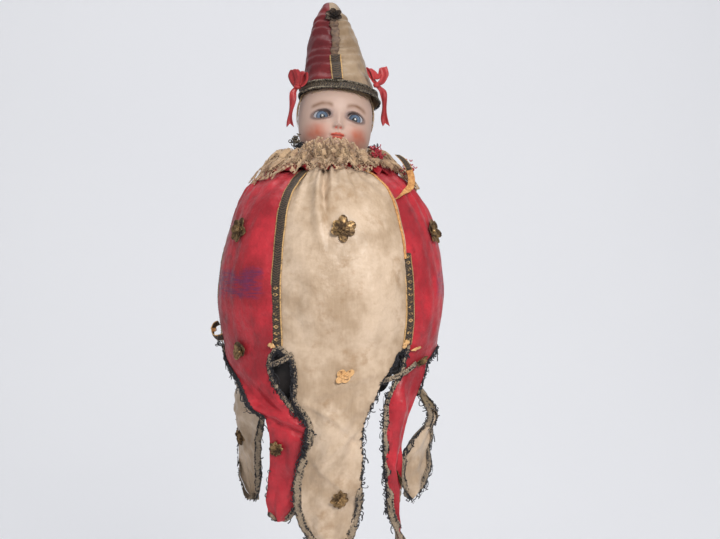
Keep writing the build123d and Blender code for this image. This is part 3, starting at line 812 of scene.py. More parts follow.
def frayed_loops(edge, inward, normal, ahead, dense, seed, reach):
    """Little curls of tarnished thread standing out from an edge."""
    rng = random.Random(seed)
    parts, steps = [], 8
    dense = np.broadcast_to(dense, len(edge))
    chosen = [i for i in range(2, len(edge) - 2) for _ in range(int(dense[i] + rng.random()))]
    for i in chosen + [len(edge) // 2]:
        size = reach * rng.uniform(0.35, 1.0) * (1.5 if rng.random() < 0.08 else 1)
        turns = rng.uniform(0.45, 1.25) * math.pi * rng.choice((-1, 1))
        heading, step, here = rng.uniform(-0.8, 0.8), size / 3.2, np.zeros(2)
        path, lift = [], rng.uniform(-0.5, 0.9)
        for k in range(steps):
            at = edge[i] - inward[i] * (here[0] - 0.8) + ahead[i] * here[1]
            path.append(at + normal[i] * (0.5 + lift * k / (steps - 1)))
            here = here + step * 0.62 * np.array([math.cos(heading), math.sin(heading)])
            heading += turns / 5 * rng.uniform(0.6, 1.5)
        path = np.array(path) - [0, 0, 1] * (np.linspace(0, 1, steps)[:, None] ** 1.5 * size * 0.5)
        parts.append(tube(path, rng.uniform(0.16, 0.42), 4))
    return join(parts)


def build_lappet_trims():
    """Tan gimp sewn round each lappet, with stitches and frayed metal thread."""
    for number, name in enumerate(PANELS):
        edge, inward, normal, ahead = outline(name)
        share = np.linspace(0, 1, len(edge))
        under = turned_under(name, share)
        depth = smooth(-edge[:, 2], 25, 70)
        full_width, folded_width = 2.9 + 2.7 * depth, 0.9
        width = full_width * (1 - under) + folded_width * under
        lift = 0.35 - 2.2 * under
        wave = 0.35 * np.sin(np.arange(len(edge)) * 0.9 + number)
        path = edge + inward * (width / 2 - 0.6)[:, None] + normal * (lift + 0.15 * wave)[:, None]

        def relief(along, share):
            chevron = np.abs(share - 0.5) * 4.0
            return 0.16 * np.sin(along * 3.4 + chevron) + 0.14 * np.cos(share * 18)

        trim = band(f"gimp_{name}", GIMP, "tan_gimp", None, path, -inward, normal, width + wave, 0.6, 9,
                    relief)
        hang(trim)
        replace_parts(trim, f"lappet_{name}_trim")
        loops = frayed_loops(edge, inward, normal, ahead, fringe_at(name, share), 100 + number, 4.8)
        frayed = mesh_piece(f"fray_{name}", *loops, FRAY, "thread")
        hang(frayed)
        inner = path + inward * (width / 2 - 0.5)[:, None]
        stitches = frayed_loops(inner, -inward, normal, ahead, 0.55 * (1 - under), 200 + number, 1.7)
        sewn = mesh_piece(f"stitches_{name}", *stitches, FRAY, "thread")
        hang(sewn)


def build_dabs():
    """Torn gilt-paper scraps at the notch tops, where a flower has come off."""
    spots = (("right_a", "front_cream", 0.965, 2.5, 3.2), ("right_b", "right_red", 0.10, -2.0, 3.6),
             ("left_a", "left_red", 0.955, 2.0, 2.6))
    sides = 22
    for number, (title, name, u, v, size) in enumerate(spots):
        turn = np.linspace(0, 2 * np.pi, sides, endpoint=False)
        ring = size * (0.8 + 0.22 * np.sin(2 * turn + number) + 0.12 * np.sin(5 * turn + 2 * number))
        rim = np.stack([ring * np.cos(turn), ring * np.sin(turn), 0.5 * np.sin(3 * turn)], -1)
        points = np.concatenate([rim, rim * 0.5 + [0, 0, 0.5], [[0, 0, 0.3]]])
        faces = grid_faces(2, sides, closed=True).tolist()
        faces += [[sides + k, sides + (k + 1) % sides, 2 * sides] for k in range(sides)]
        points = place_flower(points, *panel_frame(name, u, v, 2.3))
        dab = mesh_piece(f"dab_{title}", points, faces, PAPER, "gilt_foil")
        thicken(dab, 0.5)
        hang(dab)


def build_straps():
    """The gimp that crosses each front notch where a lappet's trim has come away."""
    for title, name, start, end in (("strap_left", "left_red", (-38, -62.5, -10), (-23.5, -70, -2.5)),
                                    ("strap_right", "right_red", (33, -62.5, -21), (57, -46.5, -10))):
        k = np.linspace(0, 1, 16)[:, None]
        path = np.array(start, float) * (1 - k) + np.array(end, float) * k
        path = path + (unit(path * [1, 1, 0]) * 2.6 - [0, 0, 1.4]) * np.sin(np.pi * k)
        out = unit(path * [1, 1, 0])
        ahead = np.gradient(path, axis=0)
        across = unit(np.cross(ahead, out))
        hang(band(title, GIMP, "tan_gimp", None, path, -across, out, 3.4, 0.6, 9))
        loops = frayed_loops(path, -across, out, unit(ahead), 1.6, 7, 3.4)
        hang(mesh_piece(f"{title}_fray", *loops, FRAY, "thread"))


def seam_strip(title, bearing, v_from, v_to, width, thick, lift, material, raised=0.22):
    """Woven braid over a costume seam."""
    v = np.arange(v_to, v_from, -0.8)
    radius, height, angle = profile(v)
    near = wall_folds(np.full_like(v, bearing), v, radius) + lift
    wobble = bearing + 0.25 * np.sin(v / 17 + bearing)
    path = around(radius + near * np.cos(angle), wobble, height + near * np.sin(angle))
    b = np.radians(bearing)
    across = np.broadcast_to([math.cos(b), math.sin(b), 0], path.shape)
    normal = around(np.cos(angle), bearing, np.sin(angle))

    def relief(along, share):
        rib = np.sin(along * 3.6) * (np.abs(share - 0.5) < 0.36)
        return raised * rib + 0.25 * (np.abs(share - 0.5) > 0.40)

    width = width * (1 + 0.03 * np.sin(v / 6))
    return band(title, material, "dark_braid", "costume", path, across, normal, width, thick, 11, relief)


def build_seam_braids():
    """Plain braid above and key-patterned braid below; the front right one has lost its upper part."""
    seam_names = ["front_left", "front_right", "side_right", "back_right", "back_left", "side_left"]
    top = belly_length + shoulder_radius * (math.radians(82) - join_angle)
    split, torn, low = 40, 62, 0.5
    for seam, bearing in zip(seam_names, SEAMS):
        if seam == "front_right":
            lower = seam_strip("braid_front_right", bearing, low, torn, 7.8, 0.8, 0.35, KEY_GALLOON)
            seam_strip("braid_edge_front_right", bearing - 2.2, torn - 4, top, 1.7, 0.9, 0.2, ORANGE, 0.35)
            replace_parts(lower, "seam_braid_front_right")
            continue
        upper = seam_strip(f"braid_{seam}", bearing, split, top, 7.4, 0.8, 0.35, GALLOON)
        seam_strip(f"braid_low_{seam}", bearing, low, split + 1, 7.8, 0.8, 0.35, KEY_GALLOON)
        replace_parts(upper, f"seam_braid_{seam}")


# --- Pressed foil flowers ---------------------------------------------------------------------------
def petal(length, width, cup, curl, turn, tilt):
    """One cupped petal, its root at the middle."""
    s, t = np.meshgrid(np.linspace(0.12, 1, 8), np.linspace(-1, 1, 7), indexing="ij")
    half = width / 2 * np.sin(np.pi * np.clip(s, 0, 0.985) ** 1.25) ** 0.42
    x, y = t * half, s * length
    z = cup * (t**2) * half / width * 2 + curl * s**2 * length * 0.22 + tilt * s * length
    z = z + 0.2 * np.cos(t * 9) * s
    c, d = math.cos(turn), math.sin(turn)
    return np.stack([x * c - y * d, x * d + y * c, z], -1).reshape(-1, 3), grid_faces(8, 7)


def flower(radius, count, seed, curl=0.5, missing=0):
    """Two rings of petals and a bead, in a flat frame facing +Z."""
    rng = random.Random(seed)
    parts = []
    for ring, (size, lift) in enumerate(((1.0, 0.1), (0.52, 0.6))):
        for k in range(count - ring):
            if ring == 0 and k < missing:
                continue
            turn = 2 * math.pi * (k + 0.5 * ring + rng.uniform(-0.14, 0.14)) / (count - ring)
            length = radius * size * rng.uniform(0.86, 1.06)
            width = radius * 4.3 / count * size
            cup, lifted = rng.uniform(0.5, 1.3), curl * rng.uniform(0.2, 1.3)
            points, faces = petal(length, width, cup, lifted, turn, rng.uniform(0.0, 0.10))
            parts.append((points + [0, 0, lift], faces))
    turn = np.linspace(0, 2 * np.pi, 12, endpoint=False)
    rise = np.linspace(0, np.pi / 2, 5)[:, None]
    dome_z = np.sin(rise) * 1.3 + 0 * turn
    bead = np.stack([np.cos(turn) * np.cos(rise), np.sin(turn) * np.cos(rise), dome_z], -1)
    parts.append((bead.reshape(-1, 3) * radius * 0.17 + [0, 0, 0.7], grid_faces(5, 12, closed=True)))
    return join(parts)


def place_flower(points, at, right, up, normal):
    return at + points[:, :1] * right + points[:, 1:2] * up + points[:, 2:] * normal


def sewn_flower(title, name, u, v, radius, count, seed, material=FOIL, curl=0.5, missing=0, spin=0.0,
                body=None):
    """A flower lying on a panel, attached to the body when one is given."""
    points, faces = flower(radius, count, seed, curl, missing)
    c, s = math.cos(spin), math.sin(spin)
    spun = points @ np.array([[c, s, 0], [-s, c, 0], [0, 0, 1]])
    points = place_flower(spun, *panel_frame(name, u, v, 0.5))
    made = mesh_piece(title, points, faces, material, "gilt_foil", body)
    thicken(made, 0.35)
    if body is None:
        hang(made)
    return made


# Where the lappets' flowers are: share of the width, height, radius and petals; then share and height.
HIGH_FLOWERS = {
    "front_cream": (0.53, -17.5, 6.2, 5), "left_red": (0.55, -4.0, 7.6, 4), "right_red": (0.62, -10, 5.6, 5)}
LOW_FLOWERS = {"front_cream": (0.66, -99), "left_red": (0.16, -67), "left_back_cream": (0.30, -68)}
GORE_FLOWERS = {"front_cream": 7.0, "left_red": 304, "right_red": 73}


def build_flowers():
    """One on each gore at chest height and two on each lappet but the right back one."""
    for number, (name, panel) in enumerate(PANELS.items()):
        front = name == "front_cream"
        bearing = GORE_FLOWERS.get(name, panel["start"] + panel["span"] / 2)
        share = ((bearing - panel["start"]) % 360) / panel["span"]
        gore = sewn_flower(f"flower_gore_{name}", name, share, belly_length * 0.92, 8.8, 6, 40 + number,
                           curl=0.7, spin=0.3 * number, body="costume")
        if front:
            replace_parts(gore, "gore_flowers")
        length = panel["length"]
        u, v, radius, petals = HIGH_FLOWERS.get(name, (0.5, -length * 0.15, 6.8, 5))
        high = sewn_flower(f"flower_high_{name}", name, u, v, radius, petals, 60 + number,
                           PAPER if front else FOIL, 0.9, 1, 0.7 * number)
        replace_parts(high, f"lappet_{name}_flowers")
        if name != "right_back_cream":
            u, v = LOW_FLOWERS.get(name, (0.5, -length * 0.66))
            sewn_flower(f"flower_low_{name}", name, u, v, 7.2 if front else 5.8, 8, 80 + number,
                        curl=0.4, spin=1.1 * number)


# --- Head -------------------------------------------------------------------------------------------
class Frame:
    """A tilted frame in millimetres: local x to the puppet's own right as seen, y back, z up."""

    def __init__(self, origin, side, back, turn=0.0):
        side, back, turn = map(math.radians, (side, back, turn))
        up = np.array([math.sin(side) * math.cos(back), math.sin(back), math.cos(side) * math.cos(back)])
        x = np.array([math.cos(side), 0, -math.sin(side)])
        y = np.cross(up, x)
        self.origin = np.array(origin, float)
        self.x = x * math.cos(turn) + y * math.sin(turn)
        self.y = y * math.cos(turn) - x * math.sin(turn)
        self.z = up

    def world(self, points):
        points = np.asarray(points, float)
        return self.origin + points[..., :1] * self.x + points[..., 1:2] * self.y + points[..., 2:] * self.z

    def way(self, vectors):
        return self.world(vectors) - self.origin


# The head stands at the neck's pivot, the hat on its crown: lean to the side, lean back and turn.
HEAD = Frame((0, 0, 121), 4.5, 12, 7)
HAT = Frame((4.4, 10.4, 170), -5, 16)
BRIM_HEIGHT = 50.0
EYE_X, EYE_Z, NOSE_Z, MOUTH_Z = 11.4, 31.5, 24.2, 16.8
BALL_Y, BALL_SIZE = -15.9, 6.6
HEAD_BOTTOM, HEAD_TOP = -6.5, 57
# Radius and height of the head, at the back and at the front.
SKULL = [(14.8, -6.5), (13.8, -3), (13.4, 4), (13.6, 10), (17.3, 14), (21.3, 20), (23.5, 25), (24.9, 30),
         (25.5, 34), (25.6, 39), (24.7, 46), (22.6, 52), (20.2, 57)]
FACE = [(14.8, -6.5), (13.8, -3), (13.5, 1), (14.4, 4), (17.4, 7), (20.6, 10), (22.9, 13.5), (24.4, 18),
        (25.2, 23), (25.6, 29), (25.7, 35), (25.5, 40), (24.7, 46), (22.6, 52), (20.2, 57)]


def skull_radius(z, facing=1.0):
    """Radius of the head; facing is the cosine of the angle from the front."""
    back, front = through(SKULL[::-1], z), through(FACE[::-1], z)
    return back + (front - back) * smooth(facing, -0.35, 0.25)


def dome(x, z, cx, cz, wx, wz):
    """A round swelling of height 1 at (cx, cz) on the face."""
    return np.exp(-((x - cx) / wx) ** 2 - ((z - cz) / wz) ** 2)


def eye_shape(x, z):
    """Below 1 inside the almond between the lids, for the nearer eye."""
    outer = np.abs(x) - EYE_X
    sag = 0.45 * np.clip(outer / 5.0, -1, 1)
    tall = np.where(z > EYE_Z - sag, 3.0, 2.5)
    return (np.abs(outer) / 5.3) ** 2.1 + (np.abs(z - EYE_Z + sag) / tall) ** 2


def lip_bow(side):
    """Height of the upper lip's middle line."""
    return MOUTH_Z + 1.15 + 0.35 * bell(side, 1.1, 0.9) - 0.09 * side


def mouth_line(side):
    return MOUTH_Z + 0.02 * side**2


def face_relief(x, z):
    """How far the modelled face stands in front of the plain skull."""
    side = np.abs(x)
    out = 3.2 * dome(x, z, 0, 11.6, 6.8, 4.0)
    out += 1.9 * dome(side, z, 13.0, 19.5, 6.6, 6.6)
    out += 1.5 * dome(x, z, 0, MOUTH_Z + 0.5, 6.5, 4.0)
    out += 1.3 * dome(x, z, 0, 28.4, 1.9, 5.6) + 0.9 * dome(x, z, 0, 26, 3.4, 3.0)
    out += 3.1 * dome(x, z, 0, NOSE_Z, 2.3, 2.1) + 1.5 * dome(side, z, 2.3, NOSE_Z - 0.8, 1.15, 1.3)
    out -= 0.9 * dome(side, z, 1.3, NOSE_Z - 1.9, 0.6, 0.5)
    out -= 0.35 * dome(x, z, 0, MOUTH_Z + 3.2, 0.8, 1.5)
    out += 1.15 * bell(z, lip_bow(side), 0.85) * smooth(side, 5.0, 3.0)
    out += 1.35 * bell(z, MOUTH_Z - 1.25, 1.0) * smooth(side, 4.0, 1.6)
    out -= 1.15 * bell(z, mouth_line(side), 0.42) * smooth(side, 5.0, 3.4)
    out -= 0.9 * dome(x, z, 0, MOUTH_Z - 3.0, 3.2, 0.9) + 0.5 * dome(side, z, 5.4, MOUTH_Z, 1.0, 1.3)
    out -= 1.5 * dome(side, z, 5.4, EYE_Z - 0.6, 2.4, 4.0)
    out -= 0.6 * dome(side, z, EYE_X, EYE_Z - 4.6, 5.0, 1.2)
    out += 0.9 * dome(side, z, 10.5, EYE_Z + 7.2, 6.0, 1.8) + 0.9 * dome(x, z, 0, 44, 15, 7)
    lids = eye_shape(x, z)
    out += 1.15 * bell(np.sqrt(lids), 1.16, 0.22) * (np.abs(side - EYE_X) < 8)
    out -= 3.4 * smooth(-lids, -1.06, -0.86)
    return out


def face_point(x, z, lift=0.0):
    """Point on the front of the face, in the head's frame."""
    x, z = np.broadcast_arrays(np.asarray(x, float), np.asarray(z, float))
    radius = skull_radius(z)
    y = -np.sqrt(np.clip(radius**2 - x**2, 1, None))
    out = face_relief(x, z) * smooth(np.abs(x), 25, 17) + lift
    n = np.stack([x / radius, y / radius], -1)
    return np.stack([x + out * n[..., 0] * 0.25, y + out * n[..., 1], z], -1)


def build_head():
    """The bisque: paint holds the skin with its cheeks, brows, lids, nostrils and lips."""
    half = math.radians(84)
    turn = np.concatenate([np.linspace(-half, half, 171), np.radians(np.linspace(84, 276, 50)[1:-1])])
    z, a = np.meshgrid(np.linspace(HEAD_BOTTOM, HEAD_TOP, 176), turn, indexing="ij")
    radius = skull_radius(z, np.cos(a))
    x, y = radius * np.sin(a), -radius * np.cos(a)
    face = smooth(np.cos(a), 0.08, 0.55) * smooth(z, 5, 10)
    out = face_relief(x, z) * face
    x = x * (1 + out / radius * 0.25)
    y = y - out * np.cos(a)
    cheek = (0.42, 0.10, 0.048)
    paint = np.tile(np.array([0.46, 0.325, 0.265]), x.shape + (1,))
    grain = 0.5 + 0.5 * ripple(np.stack([x, z, y], -1), 5, 8)

    def tint(share, color):
        nonlocal paint
        paint = paint * (1 - share[..., None]) + np.array(color) * share[..., None]

    side = np.abs(x)
    tint(0.95 * dome(side, z, 14.6, 18.8, 7.4, 6.6) * face * (0.8 + 0.2 * grain), cheek)
    tint(0.25 * dome(x, z, 0, 11, 6, 4) * face, cheek)
    # Painted shade in the eye sockets: grey-brown in the inner corners and a softer darkening round each
    # eye.
    tint(0.55 * dome(side, z, 6.0, EYE_Z + 1.0, 2.6, 4.2) * face, (0.30, 0.19, 0.16))
    tint(0.35 * dome(side, z, EYE_X, EYE_Z, 8.5, 5.4) * face, (0.42, 0.28, 0.24))
    tint(0.40 * smooth(side, 19, 25) * face, (0.46, 0.32, 0.26))
    arch = 1.3 * np.sin(np.pi * np.clip((side - 4.6) / 14.0, 0, 1)) - 0.13 * np.clip(side - 12, 0, 9)
    drawn = bell(z, EYE_Z + 6.7 + arch, 1.5) * smooth(side, 3.4, 6.0) * smooth(side, 20.0, 16.8)
    tint(0.95 * drawn * face * (0.75 + 0.25 * grain), (0.19, 0.10, 0.055))
    upper = np.exp(-(((z - lip_bow(side)) / 0.95) ** 4)) * smooth(side, 5.2, 3.9)
    lower = np.exp(-(((z - MOUTH_Z + 1.15) / 1.15) ** 4)) * smooth(side, 4.1, 2.6)
    tint(np.clip(upper + lower, 0, 1) * 0.95 * face, (0.52, 0.07, 0.035))
    tint(bell(z, mouth_line(side), 0.32) * smooth(side, 4.9, 3.8) * face, (0.22, 0.02, 0.018))
    tint(0.95 * dome(side, z, 1.5, NOSE_Z - 1.9, 0.9, 0.6) * face, (0.50, 0.06, 0.035))
    lids = np.sqrt(eye_shape(x, z))
    near = (np.abs(side - EYE_X) < 8) * face
    tint(bell(lids, 1.03, 0.14) * near * np.where(z > EYE_Z + 0.2, 1.0, 0.75), (0.045, 0.026, 0.024))
    tint(0.75 * bell(lids, 1.24, 0.28) * near, (0.13, 0.09, 0.085))
    tint(smooth(z, 5, 1) * 0.5, (0.60, 0.46, 0.38))
    points = HEAD.world(np.stack([x, y, z], -1))
    rgba = np.concatenate([paint, np.ones(x.shape + (1,))], -1)
    head = surface("head_bisque", points, SKIN, "bisque", "head", closed=True, paint=rgba)
    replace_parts(head, "bisque_head")


def build_eyes():
    """Glass balls with a bulge at the cornea, turned a little to the side."""
    for name, x, turned in (("eye_left", -EYE_X, 9), ("eye_right", EYE_X, 5)):
        round_it = np.linspace(0, 2 * np.pi, 48, endpoint=False)
        off, turn = np.meshgrid(np.linspace(0, 110, 50), round_it, indexing="ij")
        a = np.radians(off)
        size = BALL_SIZE + 0.40 * np.exp(-((off / 28) ** 4))
        ball = np.stack([np.sin(a) * np.cos(turn), -np.cos(a) + 0 * turn, np.sin(a) * np.sin(turn)], -1)
        gaze = Frame(HEAD.world((x, BALL_Y, EYE_Z)), 1.5, 2.0, turned)
        piece = surface(f"glass_{name}", gaze.world(ball * size[..., None]), EYE_GLASS, "eye_glass", "head",
                        closed=True, uv=np.stack([off, turn], -1))
        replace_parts(piece, name)


def build_lashes():
    """Painted lashes, fanning out from both lids."""
    rng = random.Random(4)
    t = np.linspace(0, 1, 4)
    parts = []

    def stroke(x, z, size):
        parts.append(tube(HEAD.world(face_point(x, z, 0.02)), size, 5))

    for sign in (-1, 1):
        for k in range(23):
            s = k / 22
            x0 = sign * (EYE_X + (s - 0.5) * 10.0)
            middle = EYE_Z - 0.45 * (2 * s - 1)
            arch = math.sqrt(max(0, 1 - abs(2 * s - 1) ** 2.1))
            up = middle + 3.15 * arch + (1.25 + rng.uniform(-0.3, 0.3)) * t
            stroke(x0 + sign * (s - 0.35) * 1.7 * t, up, 0.15 * np.array([1.2, 1, 0.8, 0.3]))
            if k % 2:
                down = middle - 2.65 * arch - 0.95 * t
                stroke(x0 + sign * (s - 0.4) * 1.2 * t, down, 0.11 * np.array([1, 1, 0.8, 0.3]))
    mesh_piece("lashes", *join(parts), LASH, "mohair", "head")


def build_hair():
    """Wisps under the hat's brim and the wig behind."""
    rng = random.Random(9)
    parts, wisps, root_z = [], 420, 51.5
    for _ in range(wisps):
        a = rng.uniform(-math.pi, math.pi)
        if abs(a) < 1.3 and rng.random() < 0.8:
            continue
        fall = rng.uniform(2, 5) if abs(a) < 1.5 else rng.uniform(8, 23)
        k = np.linspace(0, 1, 6)
        z = root_z - fall * k
        off = 0.25 + 0.9 * rng.random() * np.sin(k * 3.1) + (0.6 if abs(a) > 1.3 else 0)
        curve = 0.10 * rng.uniform(-1, 1) * np.sin(k * rng.uniform(2, 6)) + 0.12 * math.copysign(1, a) * k**2
        path = around(skull_radius(z, math.cos(a)) + off, np.degrees(a + curve), z)
        parts.append(tube(HEAD.world(path), rng.uniform(0.10, 0.20) * np.array([1, 1, 1, 1, 0.8, 0.3]), 4))
    hair = mesh_piece("hair", *join(parts), HAIR, "mohair", "head")
    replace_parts(hair, "wig")


# --- Hat --------------------------------------------------------------------------------------------
HAT_TOP = 74.6
HAT_SIDE = [(0.6, HAT_TOP), (3.4, 73), (6.8, 69), (9.8, 64), (12.2, 59), (15.3, 50), (18.0, 40), (20.6, 28),
            (22.8, 17), (24.6, 8), (26.6, 0), (28.0, -5), (29.0, -9)]


def hat_point(turn, z, lift=0.0):
    """Point of the hat's satin; turn is degrees from its front seam."""
    turn, z = np.broadcast_arrays(np.asarray(turn, float), np.asarray(z, float))
    radius = through(HAT_SIDE, z)
    a = np.radians(turn)
    place = np.stack([radius * np.sin(a), z, radius * np.cos(a)], -1)
    seam = np.radians(np.minimum(np.abs(turn), 180 - np.abs(turn))) * radius
    wrinkle = 1.05 * np.sin(z * 0.85 + 1.5 * np.sin(a * 3 + 1) + 1.4 * np.sin(z * 0.23))
    wrinkle = wrinkle * bell(seam, 0, 17) * smooth(z, 4, 12) * smooth(z, 72, 60)
    off = wrinkle + 0.4 * ripple(place, 12, 14) - 0.8 * bell(seam, 0, 1.6) + lift
    return around(radius + off, turn, z)


def brim_z(turn):
    """Height on the hat where the head's brim plane cuts its side."""
    level = HEAD.origin + HEAD.z * BRIM_HEIGHT
    low, high = np.full(np.shape(turn), -9.0), np.full(np.shape(turn), 20.0)
    for _ in range(24):
        mid = (low + high) / 2
        above = (HAT.world(around(through(HAT_SIDE, mid), turn, mid)) - level) @ HEAD.z > 0
        high, low = np.where(above, mid, high), np.where(above, low, mid)
    return high


def hat_braid_relief(along, share):
    return 0.25 * np.sin(along * 3.4) * (np.abs(share - 0.5) < 0.33) + 0.25 * (np.abs(share - 0.5) > 0.38)


def build_hat_cloth():
    """The red and cream halves and the paper cone inside."""
    # The two halves take the darkened satins, whose colour holds painted shade.
    for name, turns, material, slot in (
        ("hat_cream", (0, 180), SHADED_HAT_CREAM, "cream_satin"), ("hat_red", (-180, 0), SHADED_HAT_RED, "red_satin")):
        turn, share = np.meshgrid(np.linspace(*turns, 90), np.linspace(0, 1, 110))
        low = brim_z(turn)
        z = low + (HAT_TOP - low) * share
        piece = surface(f"cloth_{name}", HAT.world(hat_point(turn, z)), material, slot, "head",
                        uv=np.stack([z, turn], -1))
        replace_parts(piece, name)
    turn, share = np.meshgrid(np.linspace(-180, 180, 73), np.linspace(0, 1, 12))
    low = brim_z(turn)
    points = HAT.world(hat_point(turn, low + (68 - low) * share, -3.6))
    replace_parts(surface("paper_cone", points, BOARD, "pasteboard", "head"), "hat_stiffener")


def build_brim():
    """Braid round the brim, its pinked edges and a twisted cord along each."""
    turn = np.linspace(-180, 180, 241)
    low = brim_z(turn)
    path = HAT.world(hat_point(turn, low + 3.1, 0.5))
    out = unit(HAT.way(around(1, turn, 0.25)))
    above = unit(HAT.world(hat_point(turn, low + 5)) - HAT.world(hat_point(turn, low + 1)))
    brim = band("brim_braid", BRIM_BRAID, "dark_braid", "head", path, -above, out, 6.4, 0.8, 11,
                hat_braid_relief)
    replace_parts(brim, "hat_brim_braid")
    rng = random.Random(2)
    teeth, count = [], 150
    for k in range(count):
        a = -180 + 360 * (k + rng.uniform(-0.2, 0.2)) / count
        z0 = float(brim_z(np.array([a]))[0])
        turns = np.array([a, a + 0.9, a + 1.8])
        rise = np.array([0.3, -rng.uniform(0.6, 1.5), 0.3])
        teeth.append(tube(HAT.world(hat_point(turns, z0 + rise, 0.9)), 0.28, 4))
        teeth.append(tube(HAT.world(hat_point(turns, z0 + 6.2 - rise * 0.8, 0.9)), 0.24, 4))
    mesh_piece("brim_pinking", *join(teeth), FRAY, "dark_braid", "head")
    turn = np.linspace(-180, 180, 900)
    for number, level in enumerate((0.5, 5.9)):
        strands = []
        for phase in (0, math.pi):
            twist = np.radians(turn) * 56 + phase
            at = hat_point(turn, brim_z(turn) + level + 0.55 * np.sin(twist), 1.15 + 0.5 * np.cos(twist))
            strands.append(tube(HAT.world(at), 0.5, 5))
        mesh_piece(f"brim_cord_{number}", *join(strands), TINSEL, "dark_braid", "head")


def build_hat_front():
    """The strip of braid up the front seam, the glue where the rest has gone, and the flower."""
    z = np.arange(5.0, 24.5, 0.7)
    path = HAT.world(hat_point(0 * z + 3.0, z, 0.9))[::-1]
    out = HAT.way(unit(np.array([0.03, -1, 0.22])))
    seam = band("hat_braid", GALLOON, "dark_braid", "head", path, HAT.x[None], out[None], 8, 0.8, 11,
                hat_braid_relief)
    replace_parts(seam, "hat_seam_braid")
    z = np.arange(24, 56, 0.8)
    width = 5.6 + 0.9 * np.sin(z * 0.9) + 0.6 * np.sin(z * 2.3)
    path = HAT.world(hat_point(8.0 * smooth(z, 20, 40), z, 0.75))[::-1]
    band("hat_glue_line", GLUE, "dark_braid", "head", path, HAT.x[None], out[None], width[::-1], 0.35)
    points, faces = flower(6.4, 6, 77, 0.9)
    at = HAT.world(hat_point(10.0, 57.5, 0.9))
    normal = HAT.way(unit(np.array([-0.05, -0.95, 0.34])))
    right = unit(np.cross(HAT.z, normal))
    points = place_flower(points, at, right, np.cross(normal, right), normal)
    made = mesh_piece("hat_foil_flower", points, faces, BLACK_FOIL, "gilt_foil", "head")
    thicken(made, 0.35)
    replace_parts(made, "hat_flower")


# --- Ribbons ----------------------------------------------------------------------------------------
def ribbon_strip(title, path, across, width, body, notch=0.0):
    """A soft ribbon, ending in a swallow-tail where notch is given."""
    path = resample(path, 0.7)
    t = np.linspace(-0.5, 0.5, 11)
    k = np.linspace(0, 1, len(path))
    across = np.atleast_2d(across)
    given = np.linspace(0, 1, len(across))
    across = np.stack([np.interp(k, given, column) for column in across.T], -1)
    ahead = unit(path[-1] - path[-6])
    pull = (1 - np.abs(t) * 2) * notch * smooth(k, 0.7, 1)[:, None]
    points = path[:, None] - ahead * pull[..., None] + across[:, None] * (t[None, :, None] * width)
    wave = 0.35 * np.sin(t * 9 + 4 * k[:, None])
    points = points + np.cross(unit(np.gradient(path, axis=0)), unit(across))[:, None] * wave[..., None]
    piece = surface(title, points, RIBBON, "pink_ribbon", body)
    thicken(piece, 0.3)
    return piece


# Each bow: where its knot is, the loops as (x, z) from the knot, how far it turns round the hat, where
# its tail is held, and how far the tail drifts sideways.
BOWS = {
    "left": ((-23, -3.6, 178), [(0, 0), (-4, 3), (-7.5, 8), (-4, 12.4), (0.4, 9), (1, 3), (0, 0), (5, 1.5),
                                (9, 5.5), (8, 10.5), (2.8, 7), (0, 0)], 52, (-26, -3.2, 174), -1.5),
    "right": ((31.5, -3.6, 179), [(0, 0), (-5.5, 5), (-8.5, 12), (-2.6, 8.5), (0, 3), (4.6, 7), (6.2, 13.5),
                                  (9.2, 7), (4.4, 1), (0, 0)], -48, (35, -3.2, 174.5), 3.5),
}


def build_ribbons():
    """Two looped bows with their knots, and a hanging tail under each."""
    for name, (knot, loops, side, top, drift) in BOWS.items():
        knot, top = np.array(knot, float), np.array(top, float)
        x, z = soften(resample(np.array(loops, float), 1.0), 3).T
        k = np.linspace(0, 1, len(x))
        c, d = math.cos(math.radians(side)), math.sin(math.radians(side))
        path = np.stack([x * c, 1.2 * np.sin(k * 12) - x * d * 0.35, z], -1)
        way = np.stack([d + 0.2 * np.sin(k * 7), -c + 0 * k, 0.3 * np.cos(k * 5)], -1)
        bow = ribbon_strip(f"ribbon_bow_{name}", knot + path, unit(way), 6.2, "head")
        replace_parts(bow, f"bow_{name}")
        a = np.linspace(0, 2 * np.pi, 14)
        wrap = knot + np.stack([2.0 * np.cos(a), 2.4 * np.sin(a) - 0.4, 0 * a], -1)
        ribbon_strip(f"ribbon_knot_{name}", wrap, np.array([0.1, 0, 1.0]), 3.4, "head")
        k = np.linspace(0, 1, 26)
        start = (knot - top)[0] * smooth(k, 0.2, 0)
        sway = start + drift * k + 1.3 * np.sin(k * 6) * k
        fall = np.stack([sway, -0.6 - 1.6 * np.sin(k * 5), 5.0 - 29 * k], -1)
        turn = 0.9 * np.sin(k * 4.5 + side)
        across = np.stack([np.cos(turn), np.sin(turn), 0 * k], -1)
        tail = ribbon_strip(f"ribbon_tail_{name}", top + fall, across, 5.0, f"tail_{name}", 2.6)
        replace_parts(tail, f"tail_{name}")


